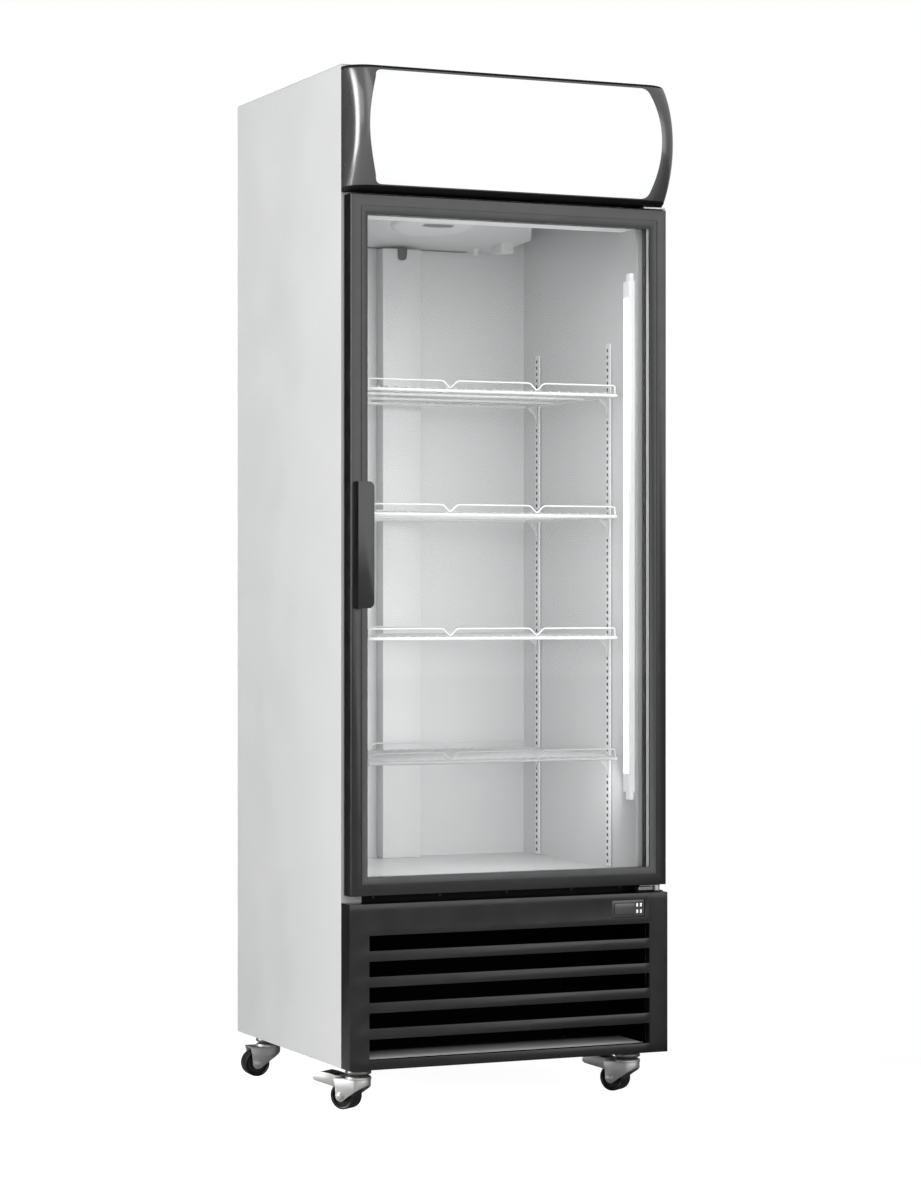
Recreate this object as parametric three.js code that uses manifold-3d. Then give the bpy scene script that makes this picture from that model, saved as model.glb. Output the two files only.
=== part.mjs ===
// Upright glass door merchandiser: an insulated cabinet on casters, a hinged double-glazed door, four
// wire shelves, a bowed illuminated header, a refrigeration deck behind a louvred grille and an
// evaporator at the top. Millimetres. +Z up, the front faces -Y, X = 0 is the cabinet's centre plane
// and Z = 0 is the floor.
import * as THREE from 'three';
import { mergeVertices } from 'three/addons/utils/BufferGeometryUtils.js';
import Module from 'manifold-3d';

const wasm = await Module();
wasm.setup();

// ---------------------------------------------------------------- driving dimensions

const WIDTH = 650;
const BODY_DEPTH = 557;
const HEADER_REACH = 97;
const HEIGHT = 1923;
const BODY_BOTTOM = 83;
const HALF = WIDTH / 2;
const FRONT = (HEADER_REACH - BODY_DEPTH) / 2;
const BACK = FRONT + BODY_DEPTH;

const GAP = 0.3;
const SHEET = 1.2;
const RETURN = 40;
const CASING_TOP = HEIGHT - SHEET - GAP;

// inside of the food compartment
const CHAMBER_HALF = 280;
const CHAMBER_BACK = FRONT + 507;
const CHAMBER_FLOOR = 423.5;
const CHAMBER_CEILING = 1862;
const MOUTH_TOP = 1658;
const LINER = 1;
const BEAM_DEPTH = 42;
const DECK_CEILING = 380;
const DECK_FLOOR = 99.5;

// door
const DOOR_HALF = 322.6;
const DOOR_BOTTOM = 400.7;
const DOOR_TOP = 1681.5;
const SILL_TOP = DOOR_BOTTOM + 11.3;
const DOOR_FACE = FRONT - 42.6;
const DOOR_REAR = FRONT - 8.3;
const PANE_HALF = 288.5;
const PANE_BOTTOM = 435;
const PANE_TOP = 1645;
const POCKET = 14.8;
const REAR_LIP_HALF = 290;
const OUTER_GLASS_FACE = DOOR_FACE + 4.3;
const GLASS = 4;
const PANE_GAP = 12;
const HINGE_X = 312;
const HINGE_Y = FRONT - 26;
const HINGE_PIN_R = 5;

// header
const HEADER_BOTTOM = 1688;
const HEADER_TOP = 1917;
const HEADER_EDGE_REACH = 53;
const HEADER_WALL = 3;
const HEADER_CORNER = 42;
const HEADER_LIP = 9;
const SIGN_LEFT = { x: -283, bow: 20.5 };
const SIGN_RIGHT = { x: 273, bow: 12 };
const SIGN_MARGIN = 10;
const SIGN_CORNER = 14;

// grille
const GRILLE_TOP = 386.2;
const GRILLE_DEPTH = 43.3;
const SLOT_HALF = 286.5;
const SLOT_PITCH = 47.2;
const SLOT_HEIGHT = 28.2;
const TOP_SLOT_BOTTOM = 300.1;
const LOW_SLOT_BOTTOM = 101.2;
const LOW_SLOT_TOP = 138.9;
const LOUVRE_DEPTH = 14;
const AIR_GUIDE = 1.5;

// controller, in the grille's upper right corner
const BEZEL = { x0: 208, x1: 281, z0: 341, z1: 374 };
const DISPLAY = { x0: 213, x1: 254.5, z0: 347, z1: 368 };
const KEY = { wide: 4.6, tall: 7.8, proud: 1, long: 5 };
const KEY_X = [262, 269.7];
const KEY_Z = [350.8, 363];

// shelves
const SHELF_HALF = 263;
const SHELF_FRONT = FRONT + 38;
const SHELF_REAR = FRONT + 455;
const SHELF_RAILS = [1353, 1121, 889, 657];
const RAIL_HALF = 256;
const RAIL_WIRE = 3.6;
const RAIL_DROP = 14.5;
const SHELF_BAR = 7;
const SHELF_MESH = 3;
const NOTCH_X = 89.5;

// refrigeration deck
const COMPRESSOR = { x: 150, y: BACK - 190, r: 78, tall: 174, lift: 28 };
const CONDENSER = { x0: -284, x1: 180, y0: FRONT + 112, y1: FRONT + 150, top: 352 };
const CONDENSER_FAN = { z: 226, bladeR: 98, hubR: 22, thick: 10, ahead: 18 };
const SHROUD = { r: 112, bore: 108, deep: 42, plate: 3 };
const TRAY = { x0: -250, x1: 60, y0: BACK - 150, y1: BACK - 30, tall: 40, wall: 2 };
const ELECTRICS = { x0: 184, x1: 300, y0: FRONT + 112, y1: FRONT + 222, tall: 240 };
const VENT = { columns: [-270, 20], wide: 250, rows: 6, bottom: 150, pitch: 32, tall: 12 };
const GLAND = { x: -290, z: 125, r: 11, long: 12 };

// evaporator
const EVAPORATOR = { half: 248, y0: FRONT + 62, y1: FRONT + 500, frontZ: 1700, rearZ: 1649, topZ: 1775 };
const COVER = { wall: 2.5, chamfer: 34, flange: 12 };
const FAN = { x: -12, y: FRONT + 333 };
const DOME = { r: 84, drop: 9, wall: 3 };
const GUARD = { x: -4, y: FRONT + 296, slots: 9, pitch: 7, half: 1.75, reach: 14 };
const DRAIN = { x0: 150, x1: 200, y0: FRONT + 385, y1: FRONT + 425, bottom: 1636, top: 1672 };
const EVAPORATOR_FAN = { bladeR: 76, hubR: 20, thick: 10, lift: 32 };
const EVAPORATOR_COIL = { half: 210, y0: FRONT + 440, y1: FRONT + 486, bottom: 1710 };
const DUCT = { x0: -47, x1: 36, deep: 35 };

// shelf standards
const STANDARD_WIDE = 22;
const STANDARD_PROUD = 4;
const STANDARD_BOTTOM = 425;
const STANDARD_TOP = 1438;
const STANDARD_Y = { front: FRONT + 113, rear: FRONT + 435 };
const CLIP_REACH = 20;
const CLIP_DROP = 38;
const CLIP_THICK = 3;

// casters
const CASTER_X = 278;
const CASTER_Y = { front: FRONT + 32.5, rear: BACK - 48 };
const WHEEL_R = 25.4;
const WHEEL_HALF = 16;
const TRAIL = 27;
const FORK_TOP = 65.7;

// ---------------------------------------------------------------- solids

function solid(geometry) {
  const bare = geometry.index ? geometry.toNonIndexed() : geometry.clone();
  bare.deleteAttribute('normal');
  bare.deleteAttribute('uv');
  const merged = mergeVertices(bare, 1e-4);
  return new wasm.Manifold(new wasm.Mesh({
    numProp: 3,
    vertProperties: merged.attributes.position.array,
    triVerts: new Uint32Array(merged.index.array),
  }));
}

function geometryOf(body) {
  const mesh = body.getMesh();
  const geometry = new THREE.BufferGeometry();
  geometry.setAttribute('position', new THREE.BufferAttribute(mesh.vertProperties, 3));
  geometry.setIndex(new THREE.BufferAttribute(mesh.triVerts, 1));
  const flat = geometry.toNonIndexed();
  flat.computeVertexNormals();
  return flat;
}

const joined = (bodies) => bodies.reduce((all, next) => all.add(next));
const cut = (body, tools) => tools.reduce((left, tool) => left.subtract(tool), body);

function box(x0, x1, y0, y1, z0, z1) {
  const geometry = new THREE.BoxGeometry(x1 - x0, y1 - y0, z1 - z0);
  return solid(geometry.translate((x0 + x1) / 2, (y0 + y1) / 2, (z0 + z1) / 2));
}

function outline(points) {
  return new THREE.Shape(points.map(([u, v]) => new THREE.Vector2(u, v)));
}

function rectangle(u0, u1, v0, v1) {
  return outline([[u0, v0], [u1, v0], [u1, v1], [u0, v1]]);
}

function roundedRectangle(u0, u1, v0, v1, r) {
  const shape = new THREE.Shape();
  shape.absarc(u1 - r, v0 + r, r, -Math.PI / 2, 0);
  shape.absarc(u1 - r, v1 - r, r, 0, Math.PI / 2);
  shape.absarc(u0 + r, v1 - r, r, Math.PI / 2, Math.PI);
  shape.absarc(u0 + r, v0 + r, r, Math.PI, 1.5 * Math.PI);
  return shape;
}

// A prism of an outline drawn in (X, Y), (X, Z) or (Y, Z) and run along the remaining axis.
const PRISM_AXES = {
  z: new THREE.Matrix4(),
  y: new THREE.Matrix4().makeRotationX(Math.PI / 2),
  x: new THREE.Matrix4().makeBasis(
    new THREE.Vector3(0, 1, 0), new THREE.Vector3(0, 0, 1), new THREE.Vector3(1, 0, 0)),
};

function prism(axis, shape, from, to, curveSegments = 4) {
  const depth = to - from;
  const geometry = new THREE.ExtrudeGeometry(shape, { depth, bevelEnabled: false, curveSegments });
  geometry.applyMatrix4(PRISM_AXES[axis]);
  if (axis === 'z') geometry.translate(0, 0, from);
  if (axis === 'y') geometry.translate(0, to, 0);
  if (axis === 'x') geometry.translate(from, 0, 0);
  return solid(geometry);
}

// A round bar from one point to another.
function rod(from, to, r, sides = 16) {
  const a = new THREE.Vector3(...from);
  const b = new THREE.Vector3(...to);
  const along = b.clone().sub(a);
  const geometry = new THREE.CylinderGeometry(r, r, along.length(), sides);
  const up = new THREE.Vector3(0, 1, 0);
  const turn = new THREE.Quaternion().setFromUnitVectors(up, along.clone().normalize());
  geometry.applyQuaternion(turn);
  const middle = a.add(b).multiplyScalar(0.5);
  return solid(geometry.translate(middle.x, middle.y, middle.z));
}

// A solid of revolution about Z from a closed list of [radius, height] corners.
function turned(corners, segments = 24) {
  const profile = corners.map(([r, z]) => new THREE.Vector2(r, z));
  const geometry = new THREE.LatheGeometry(profile, segments);
  geometry.rotateX(Math.PI / 2);
  return solid(geometry);
}

// A flat plate run along an axis, with rectangular openings [u0, u1, v0, v1] right through it.
function pierced(axis, shape, openings, from, to) {
  const tools = openings.map((hole) => prism(axis, rectangle(...hole), from - 1, to + 1));
  return cut(prism(axis, shape, from, to), tools);
}

// A flat ring in the XZ plane, run along Y.
function ring(outerHalf, z0, z1, innerHalf, hole0, hole1, y0, y1) {
  const hole = [-innerHalf, innerHalf, hole0, hole1];
  return pierced('y', rectangle(-outerHalf, outerHalf, z0, z1), [hole], y0, y1);
}

// A solid between stacked horizontal outlines that all have the same number of points.
function lofted(sections) {
  const count = sections[0].points.length;
  const positions = sections.flatMap(({ points, z }) => points.flatMap(([x, y]) => [x, y, z]));
  const faces = [];
  for (let s = 0; s + 1 < sections.length; s += 1) {
    for (let i = 0; i < count; i += 1) {
      const a = s * count + i;
      const b = s * count + ((i + 1) % count);
      faces.push(a, b, b + count, a, b + count, a + count);
    }
  }
  const capOf = ({ points }) => {
    const contour = points.map(([x, y]) => new THREE.Vector2(x, y));
    return THREE.ShapeUtils.triangulateShape(contour, []);
  };
  const last = (sections.length - 1) * count;
  capOf(sections[0]).forEach(([a, b, c]) => faces.push(c, b, a));
  capOf(sections.at(-1)).forEach(([a, b, c]) => faces.push(last + a, last + b, last + c));
  const geometry = new THREE.BufferGeometry();
  geometry.setAttribute('position', new THREE.Float32BufferAttribute(positions, 3));
  geometry.setIndex(faces);
  return solid(geometry);
}

// ---------------------------------------------------------------- finishes and the object's group

const FINISHES = {
  whiteSteel: { color: 0xe9eaec, roughness: 0.45, metalness: 0.1 },
  whitePlastic: { color: 0xeef0f1, roughness: 0.5, metalness: 0 },
  whiteWire: { color: 0xf4f5f5, roughness: 0.35, metalness: 0 },
  foam: { color: 0xe8dcae, roughness: 0.95, metalness: 0 },
  black: { color: 0x2a2b2d, roughness: 0.45, metalness: 0.1 },
  rubber: { color: 0x17181a, roughness: 0.8, metalness: 0 },
  gasket: { color: 0x6d6f73, roughness: 0.85, metalness: 0 },
  galvanised: { color: 0xa7aaac, roughness: 0.45, metalness: 0.7 },
  zinc: { color: 0xb9bbbd, roughness: 0.35, metalness: 0.9 },
  aluminium: { color: 0xc9cbce, roughness: 0.35, metalness: 0.9 },
  sign: { color: 0xfbfcff, roughness: 0.3, metalness: 0 },
  lamp: { color: 0xffffff, roughness: 0.4, metalness: 0 },
  key: { color: 0xffffff, roughness: 0.4, metalness: 0 },
  machine: { color: 0x1d1e20, roughness: 0.5, metalness: 0.3 },
  glass: { color: 0xdfeae6, roughness: 0.05, metalness: 0, transparent: true, opacity: 0.25 },
};

const merchandiser = new THREE.Group();

function part(name, finish, body, parent = merchandiser) {
  const mesh = new THREE.Mesh(geometryOf(body), new THREE.MeshStandardMaterial(FINISHES[finish]));
  mesh.name = name;
  parent.add(mesh);
  return mesh;
}

// ---------------------------------------------------------------- cabinet casing

function addCasing() {
  for (const [name, side] of [['left_side_panel', -1], ['right_side_panel', 1]]) {
    const sheet = box(...span(side, HALF - SHEET, HALF), FRONT, BACK, BODY_BOTTOM, CASING_TOP);
    const returnX = span(side, HALF - RETURN, HALF);
    const frontReturn = box(...returnX, FRONT, FRONT + SHEET, BODY_BOTTOM, CASING_TOP);
    part(name, 'whiteSteel', sheet.add(frontReturn));
  }

  const topSheet = box(-HALF, HALF, FRONT, BACK, HEIGHT - SHEET, HEIGHT);
  const returnHalf = HALF - RETURN - GAP;
  const topReturn = box(-returnHalf, returnHalf, FRONT, FRONT + SHEET, DOOR_TOP + 1.5, HEIGHT);
  part('top_panel', 'whiteSteel', topSheet.add(topReturn));

  const backHalf = HALF - SHEET - GAP;
  const backSheet = box(-backHalf, backHalf, BACK - SHEET, BACK, DECK_CEILING + GAP, CASING_TOP);
  part('back_panel', 'whiteSteel', backSheet);

  part('front_sill', 'black', box(-returnHalf, returnHalf, FRONT, FRONT + SHEET, DECK_CEILING, SILL_TOP));
}

// The X range between two distances from the centre plane, on one side of it.
function span(side, near, far) {
  return side > 0 ? [near, far] : [-far, -near];
}

// The chamber and the mouth that opens it to the front, grown outwards by a margin.
function chamberVoid(margin, mouthFront) {
  const half = CHAMBER_HALF + margin;
  const chamber = box(-half, half, FRONT + BEAM_DEPTH + LINER + GAP - margin, CHAMBER_BACK + margin,
    CHAMBER_FLOOR - margin, CHAMBER_CEILING + margin);
  const mouth = box(-half, half, mouthFront, FRONT + 2 * BEAM_DEPTH,
    CHAMBER_FLOOR - margin, MOUTH_TOP + margin);
  return chamber.add(mouth);
}

function addInsulation() {
  const skin = SHEET + GAP;
  const block = box(-HALF + skin, HALF - skin, FRONT + skin, BACK - skin,
    DECK_CEILING + GAP, CASING_TOP - GAP);
  part('foam_insulation', 'foam', block.subtract(chamberVoid(LINER + GAP, FRONT - 1)));

  const shell = chamberVoid(LINER, FRONT);
  const flangeHalf = HALF - RETURN - GAP;
  const flange = box(-flangeHalf, flangeHalf, FRONT, FRONT + SHEET, SILL_TOP + GAP, DOOR_TOP + 1.2);
  part('inner_liner', 'whitePlastic', shell.add(flange).subtract(chamberVoid(0, FRONT - 1)));
}

// ---------------------------------------------------------------- header

// How far the header's face stands in front of the cabinet at a height, less an inset.
function headerReach(z, inset) {
  const middle = (HEADER_TOP + HEADER_BOTTOM) / 2;
  const halfTall = (HEADER_TOP - HEADER_BOTTOM) / 2;
  const bow = HEADER_REACH - HEADER_EDGE_REACH;
  const arcR = (halfTall ** 2 + bow ** 2) / (2 * bow);
  const rise = Math.abs(z - middle);
  const past = Math.min(HEADER_LIP, Math.max(0, rise - (halfTall - inset - HEADER_LIP)));
  const lip = HEADER_LIP - Math.sqrt(HEADER_LIP ** 2 - past ** 2);
  return HEADER_REACH - arcR + Math.sqrt(arcR ** 2 - rise ** 2) - inset - lip;
}

function headerBody(inset, rear) {
  const lipSteps = [1, 0.85, 0.5, 0];
  const bottom = HEADER_BOTTOM + inset;
  const top = HEADER_TOP - inset;
  const heights = lipSteps.map((part) => bottom + HEADER_LIP * (1 - part));
  const steps = 8;
  for (let i = 1; i < steps; i += 1) {
    heights.push(bottom + HEADER_LIP + (i / steps) * (top - bottom - 2 * HEADER_LIP));
  }
  heights.push(...lipSteps.map((part) => top - HEADER_LIP * (1 - part)).reverse());
  const half = HALF - inset;
  const r = HEADER_CORNER - inset;
  const sections = heights.map((z) => {
    const face = FRONT - headerReach(z, inset);
    const points = [];
    for (let i = 0; i <= 4; i += 1) {
      const turn = Math.PI + (i / 8) * Math.PI;
      points.push([-half + r + r * Math.cos(turn), face + r + r * Math.sin(turn)]);
    }
    const mirrored = points.map(([x, y]) => [-x, y]).reverse();
    return { z, points: [[-half, rear], ...points, ...mirrored, [half, rear]] };
  });
  return lofted(sections);
}

// The sign's outline in (X, Z): straight above and below, bowed at both ends.
function signOutline(shrink) {
  const x0 = SIGN_LEFT.x + shrink;
  const x1 = SIGN_RIGHT.x - shrink;
  const z0 = HEADER_BOTTOM + SIGN_MARGIN + shrink;
  const z1 = HEADER_TOP - SIGN_MARGIN - shrink;
  const middle = (z0 + z1) / 2;
  const swell0 = x0 - 2 * SIGN_LEFT.bow;
  const swell1 = x1 + 2 * SIGN_RIGHT.bow;
  const shape = new THREE.Shape();
  shape.moveTo(x0 + SIGN_CORNER, z0);
  shape.lineTo(x1 - SIGN_CORNER, z0);
  shape.quadraticCurveTo(x1, z0, x1 + 2, z0 + SIGN_CORNER);
  shape.quadraticCurveTo(swell1, middle, x1 + 2, z1 - SIGN_CORNER);
  shape.quadraticCurveTo(x1, z1, x1 - SIGN_CORNER, z1);
  shape.lineTo(x0 + SIGN_CORNER, z1);
  shape.quadraticCurveTo(x0, z1, x0 - 2, z1 - SIGN_CORNER);
  shape.quadraticCurveTo(swell0, middle, x0 - 2, z0 + SIGN_CORNER);
  shape.quadraticCurveTo(x0, z0, x0 + SIGN_CORNER, z0);
  return shape;
}

function addHeader() {
  const rear = FRONT - GAP;
  const outer = headerBody(0, rear);
  const inner = headerBody(HEADER_WALL, rear + 5);
  const windowFront = FRONT - HEADER_REACH - 5;
  const windowRear = FRONT - HEADER_EDGE_REACH + 18;
  const opening = prism('y', signOutline(0), windowFront, windowRear, 6);
  part('header_housing', 'black', cut(outer, [inner, opening]));

  const signShape = prism('y', signOutline(GAP), windowFront, windowRear, 6);
  part('header_sign', 'sign', outer.subtract(inner).intersect(signShape));

  const lampY = FRONT - 40;
  const lampZ = (HEADER_TOP + HEADER_BOTTOM) / 2;
  const tube = rod([-260, lampY, lampZ], [260, lampY, lampZ], 10, 12);
  const feet = [-230, 230].map((x) => box(x - 8, x + 8, lampY, FRONT - 2 * GAP, lampZ - 6, lampZ + 6));
  part('header_lamp', 'lamp', joined([tube, ...feet]));
}

// ---------------------------------------------------------------- lower front and refrigeration deck

function addGrille() {
  const face = FRONT - GRILLE_DEPTH;
  const rear = FRONT - GAP;
  const edge = 2.5;
  const openings = [0, 1, 2, 3].map((i) => {
    const z = TOP_SLOT_BOTTOM - i * SLOT_PITCH;
    return [-SLOT_HALF, SLOT_HALF, z, z + SLOT_HEIGHT];
  });
  openings.push([-SLOT_HALF, SLOT_HALF, LOW_SLOT_BOTTOM, LOW_SLOT_TOP]);
  openings.push([BEZEL.x0, BEZEL.x1, BEZEL.z0, BEZEL.z1]);
  const front = rectangle(-HALF, HALF, BODY_BOTTOM, GRILLE_TOP);
  const louvres = pierced('y', front, openings, face, face + LOUVRE_DEPTH);
  const skirt = ring(HALF, BODY_BOTTOM, GRILLE_TOP, HALF - edge, BODY_BOTTOM + edge, GRILLE_TOP - edge,
    face + 1, rear);
  const guideX = HALF - RETURN - GAP;
  const guides = [-1, 1].map((side) => box(...span(side, guideX - AIR_GUIDE, guideX),
    face + 1, CONDENSER.y0 - 2, DECK_FLOOR + GAP, DECK_CEILING - 2));
  part('lower_grille', 'black', joined([louvres, skirt, ...guides]));
}

function addController() {
  const face = FRONT - GRILLE_DEPTH;
  const keyFront = face + 2 - KEY.proud;
  const { x0, x1, z0, z1 } = BEZEL;
  const body = box(x0 + GAP, x1 - GAP, face + 2, FRONT - 2, z0 + GAP, z1 - GAP);
  const display = box(DISPLAY.x0, DISPLAY.x1, face + 0.8, face + 4, DISPLAY.z0, DISPLAY.z1);
  const halfX = KEY.wide / 2;
  const halfZ = KEY.tall / 2;
  const wells = KEY_X.flatMap((x) => KEY_Z.map((z) => box(
    x - halfX - GAP, x + halfX + GAP, face, face + 8, z - halfZ - GAP, z + halfZ + GAP)));
  part('controller', 'black', cut(body.add(display), wells));

  let number = 1;
  for (const z of [...KEY_Z].reverse()) {
    for (const x of KEY_X) {
      const cap = roundedRectangle(x - halfX, x + halfX, z - halfZ, z + halfZ, 1);
      part(`key_${number}`, 'key', prism('y', cap, keyFront, keyFront + KEY.long, 2));
      number += 1;
    }
  }
}

function addChassis() {
  const half = HALF - SHEET - GAP;
  const y0 = FRONT + SHEET + GAP;
  const y1 = BACK - SHEET - GAP;
  const sheet = 2;
  const channelHalf = 34;
  const bottom = BODY_BOTTOM + GAP;
  const floor = box(-half, half, y0, y1, DECK_FLOOR - sheet, DECK_FLOOR);
  const inside = [-half + sheet, half - sheet, y0 + sheet, y1 - sheet];
  const skirt = pierced('z', rectangle(-half, half, y0, y1), [inside], bottom, DECK_FLOOR);
  const channels = Object.values(CASTER_Y).map((y) => box(
    -half + 1, half - 1, Math.max(y - channelHalf, y0), Math.min(y + channelHalf, y1), bottom, DECK_FLOOR));
  const noseHalf = HALF - RETURN - GAP;
  const nose = box(-noseHalf, noseHalf, FRONT - GRILLE_DEPTH + LOUVRE_DEPTH + GAP, y0 + 1,
    DECK_FLOOR - sheet, DECK_FLOOR);
  part('base_chassis', 'galvanised', joined([floor, skirt, nose, ...channels]));
}

function addCompressor() {
  const { x, y, r, tall, lift } = COMPRESSOR;
  const can = turned([
    [0, 0], [r - 8, 0], [r, 12], [r, tall - 54], [r - 16, tall - 16], [30, tall - 2], [0, tall],
  ]);
  const foot = box(-88, 88, -60, 60, -16, -12);
  const belly = box(-60, 60, -40, 40, -14, 4);
  const posts = [[-70, -45], [70, -45], [-70, 45], [70, 45]].map(([u, v]) => rod(
    [u, v, -lift], [u, v, -12], 9, 12));
  const whole = joined([can, foot, belly, ...posts]);
  part('compressor', 'machine', whole.translate([x, y, DECK_FLOOR + GAP + lift]));
}

function addCondenser() {
  const { x0, x1, y0, y1, top } = CONDENSER;
  const deck = DECK_FLOOR + GAP;
  part('condenser_coil', 'aluminium', box(x0, x1, y0, y1, deck, top));

  const x = (x0 + x1) / 2;
  const { z, bladeR, hubR, thick, ahead } = CONDENSER_FAN;
  const front = y1 + GAP;
  const plate = box(x0, x1, front, front + SHROUD.plate, deck, top);
  const barrel = rod([x, front, z], [x, front + SHROUD.deep, z], SHROUD.r, 28);
  const bore = rod([x, front - 1, z], [x, front + SHROUD.deep + 1, z], SHROUD.bore, 28);
  const motorY = front + 34;
  const motor = rod([x, motorY, z], [x, motorY + 52, z], 32, 20);
  const armY = motorY + 4;
  const reach = (SHROUD.r + SHROUD.bore) / 2;
  const arms = [0, 1, 2].map((i) => {
    const turn = Math.PI / 2 + (i * 2 * Math.PI) / 3;
    return rod([x, armY, z], [x + reach * Math.cos(turn), armY, z + reach * Math.sin(turn)], 3.5, 8);
  });
  const housing = cut(plate.add(barrel), [bore]);
  part('condenser_fan_shroud', 'machine', housing.add(joined([motor, ...arms])));
  const blades = fan(5, bladeR, hubR, thick).rotate([90, 0, 0]);
  part('condenser_fan', 'aluminium', blades.translate([x, front + ahead, z]));
}

function addDeck() {
  addChassis();
  addCompressor();
  addCondenser();

  const deck = DECK_FLOOR + GAP;
  const { x0, x1, y0, y1, tall, wall } = TRAY;
  const trayHollow = box(x0 + wall, x1 - wall, y0 + wall, y1 - wall, deck + wall, deck + tall + 1);
  part('condensate_tray', 'machine', box(x0, x1, y0, y1, deck, deck + tall).subtract(trayHollow));

  const electrics = box(ELECTRICS.x0, ELECTRICS.x1, ELECTRICS.y0, ELECTRICS.y1, deck, deck + ELECTRICS.tall);
  part('electrical_box', 'machine', electrics);

  const half = HALF - SHEET - GAP;
  const vents = VENT.columns.flatMap((x) => Array.from({ length: VENT.rows }, (_, row) => {
    const z = VENT.bottom + row * VENT.pitch;
    return [x, x + VENT.wide, z, z + VENT.tall];
  }));
  const sheet = rectangle(-half, half, BODY_BOTTOM + GAP, DECK_CEILING);
  const vent = pierced('y', sheet, vents, BACK - SHEET, BACK);
  const gland = rod([GLAND.x, BACK - GLAND.long, GLAND.z], [GLAND.x, BACK - SHEET / 2, GLAND.z], GLAND.r, 16);
  part('rear_vent_panel', 'whiteSteel', vent.add(gland));
}

// Fan blades on a hub, spinning about Z, with the hub's middle at the origin.
function fan(blades, r, hubR, thick) {
  const hub = rod([0, 0, -thick / 2], [0, 0, thick / 2], hubR, 20);
  const pitch = 25;
  const all = Array.from({ length: blades }, (_, i) => {
    const blade = new THREE.Shape();
    blade.moveTo(hubR - 4, -8);
    blade.quadraticCurveTo(r * 0.7, -r * 0.38, r, -r * 0.2);
    blade.quadraticCurveTo(r * 1.02, r * 0.1, r * 0.9, r * 0.36);
    blade.quadraticCurveTo(r * 0.5, r * 0.2, hubR - 4, 10);
    return prism('z', blade, -0.8, 0.8, 3).rotate([pitch, 0, (i * 360) / blades]);
  });
  return joined([hub, ...all]);
}

// ---------------------------------------------------------------- evaporator and air duct

// The evaporator cover's outer form, drawn in by an inset: its floor slopes down to the rear, and its
// ends are chamfered.
function coverForm(inset, top) {
  const { half, y0, y1, frontZ, rearZ } = EVAPORATOR;
  const side = prism('x', outline([
    [y0 + inset, frontZ + inset], [y1 - inset, rearZ + inset], [y1 - inset, top], [y0 + inset, top],
  ]), -half + inset, half - inset);
  const low = rearZ - 2 + inset * 1.4;
  const shoulder = low + COVER.chamfer * 0.7;
  const foot = half - COVER.chamfer - inset;
  const ends = prism('y', outline([
    [-foot, low], [foot, low], [half - inset, shoulder],
    [half - inset, top], [-half + inset, top], [-half + inset, shoulder],
  ]), y0 - 5, y1 + 5);
  return side.intersect(ends);
}

function addEvaporator() {
  const { half, y0, y1, frontZ, rearZ, topZ } = EVAPORATOR;
  const fall = (rearZ - frontZ) / (y1 - y0);
  const floorZ = frontZ + fall * (FAN.y - y0);
  const { r, drop, wall } = DOME;
  const onFloor = (shape) => shape.rotate([THREE.MathUtils.radToDeg(Math.atan(fall)), 0, 0])
    .translate([FAN.x, FAN.y, floorZ]);
  const dome = turned([[0, -drop], [40, 1 - drop], [66, 5 - drop], [r, 2], [r, 10], [0, 10]], 24);
  const domeHollow = turned([
    [0, wall - drop], [40, wall + 1 - drop], [64, wall + 5 - drop], [r - 5, wall + 1], [r - 5, 60], [0, 60],
  ], 24);
  const guard = Array.from({ length: GUARD.slots }, (_, i) => {
    const aside = (i - (GUARD.slots - 1) / 2) * GUARD.pitch;
    const x = GUARD.x + aside;
    const reach = GUARD.reach * Math.sqrt(1 - (aside / (GUARD.pitch * GUARD.slots * 0.55)) ** 2);
    return box(x - GUARD.half, x + GUARD.half, GUARD.y - reach, GUARD.y + reach, floorZ - 40, floorZ + 10);
  });
  const rim = box(-half, half, y0 + 6, y1 - 6, topZ - 3, topZ).subtract(
    box(-half + COVER.flange, half - COVER.flange, y0 + COVER.flange, y1 - COVER.flange, topZ - 5, topZ + 1));
  const inside = coverForm(COVER.wall, topZ + 5);
  const shell = cut(coverForm(0, topZ).add(onFloor(dome)), [inside, onFloor(domeHollow), ...guard]);
  const drain = box(DRAIN.x0, DRAIN.x1, DRAIN.y0, DRAIN.y1, DRAIN.bottom, DRAIN.top).subtract(inside);
  part('evaporator_cover', 'whitePlastic', joined([shell, drain, rim]));

  const motorZ = floorZ + EVAPORATOR_FAN.lift + 12;
  const motor = rod([FAN.x, FAN.y, motorZ], [FAN.x, FAN.y, motorZ + 34], 30, 20);
  const reach = 100;
  const yoke = box(FAN.x - reach, FAN.x + reach, FAN.y - 6, FAN.y + 6, motorZ + 28, motorZ + 31);
  const hangers = [FAN.x + 2 - reach, FAN.x + reach - 2].map((x) => box(
    x - 2, x + 2, FAN.y - 6, FAN.y + 6, motorZ + 28, CHAMBER_CEILING - GAP));
  part('evaporator_fan_motor', 'machine', joined([motor, yoke, ...hangers]));
  const blades = fan(5, EVAPORATOR_FAN.bladeR, EVAPORATOR_FAN.hubR, EVAPORATOR_FAN.thick);
  part('evaporator_fan', 'aluminium', blades.translate([FAN.x, FAN.y, floorZ + EVAPORATOR_FAN.lift]));

  const coil = box(-EVAPORATOR_COIL.half, EVAPORATOR_COIL.half, EVAPORATOR_COIL.y0, EVAPORATOR_COIL.y1,
    EVAPORATOR_COIL.bottom, CHAMBER_CEILING - GAP);
  part('evaporator_coil', 'aluminium', coil);

  const ductFront = CHAMBER_BACK - DUCT.deep;
  part('rear_air_duct', 'whitePlastic', box(
    DUCT.x0, DUCT.x1, ductFront, CHAMBER_BACK - GAP, CHAMBER_FLOOR + GAP, rearZ - 4));
}

// ---------------------------------------------------------------- shelves and their standards

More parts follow.
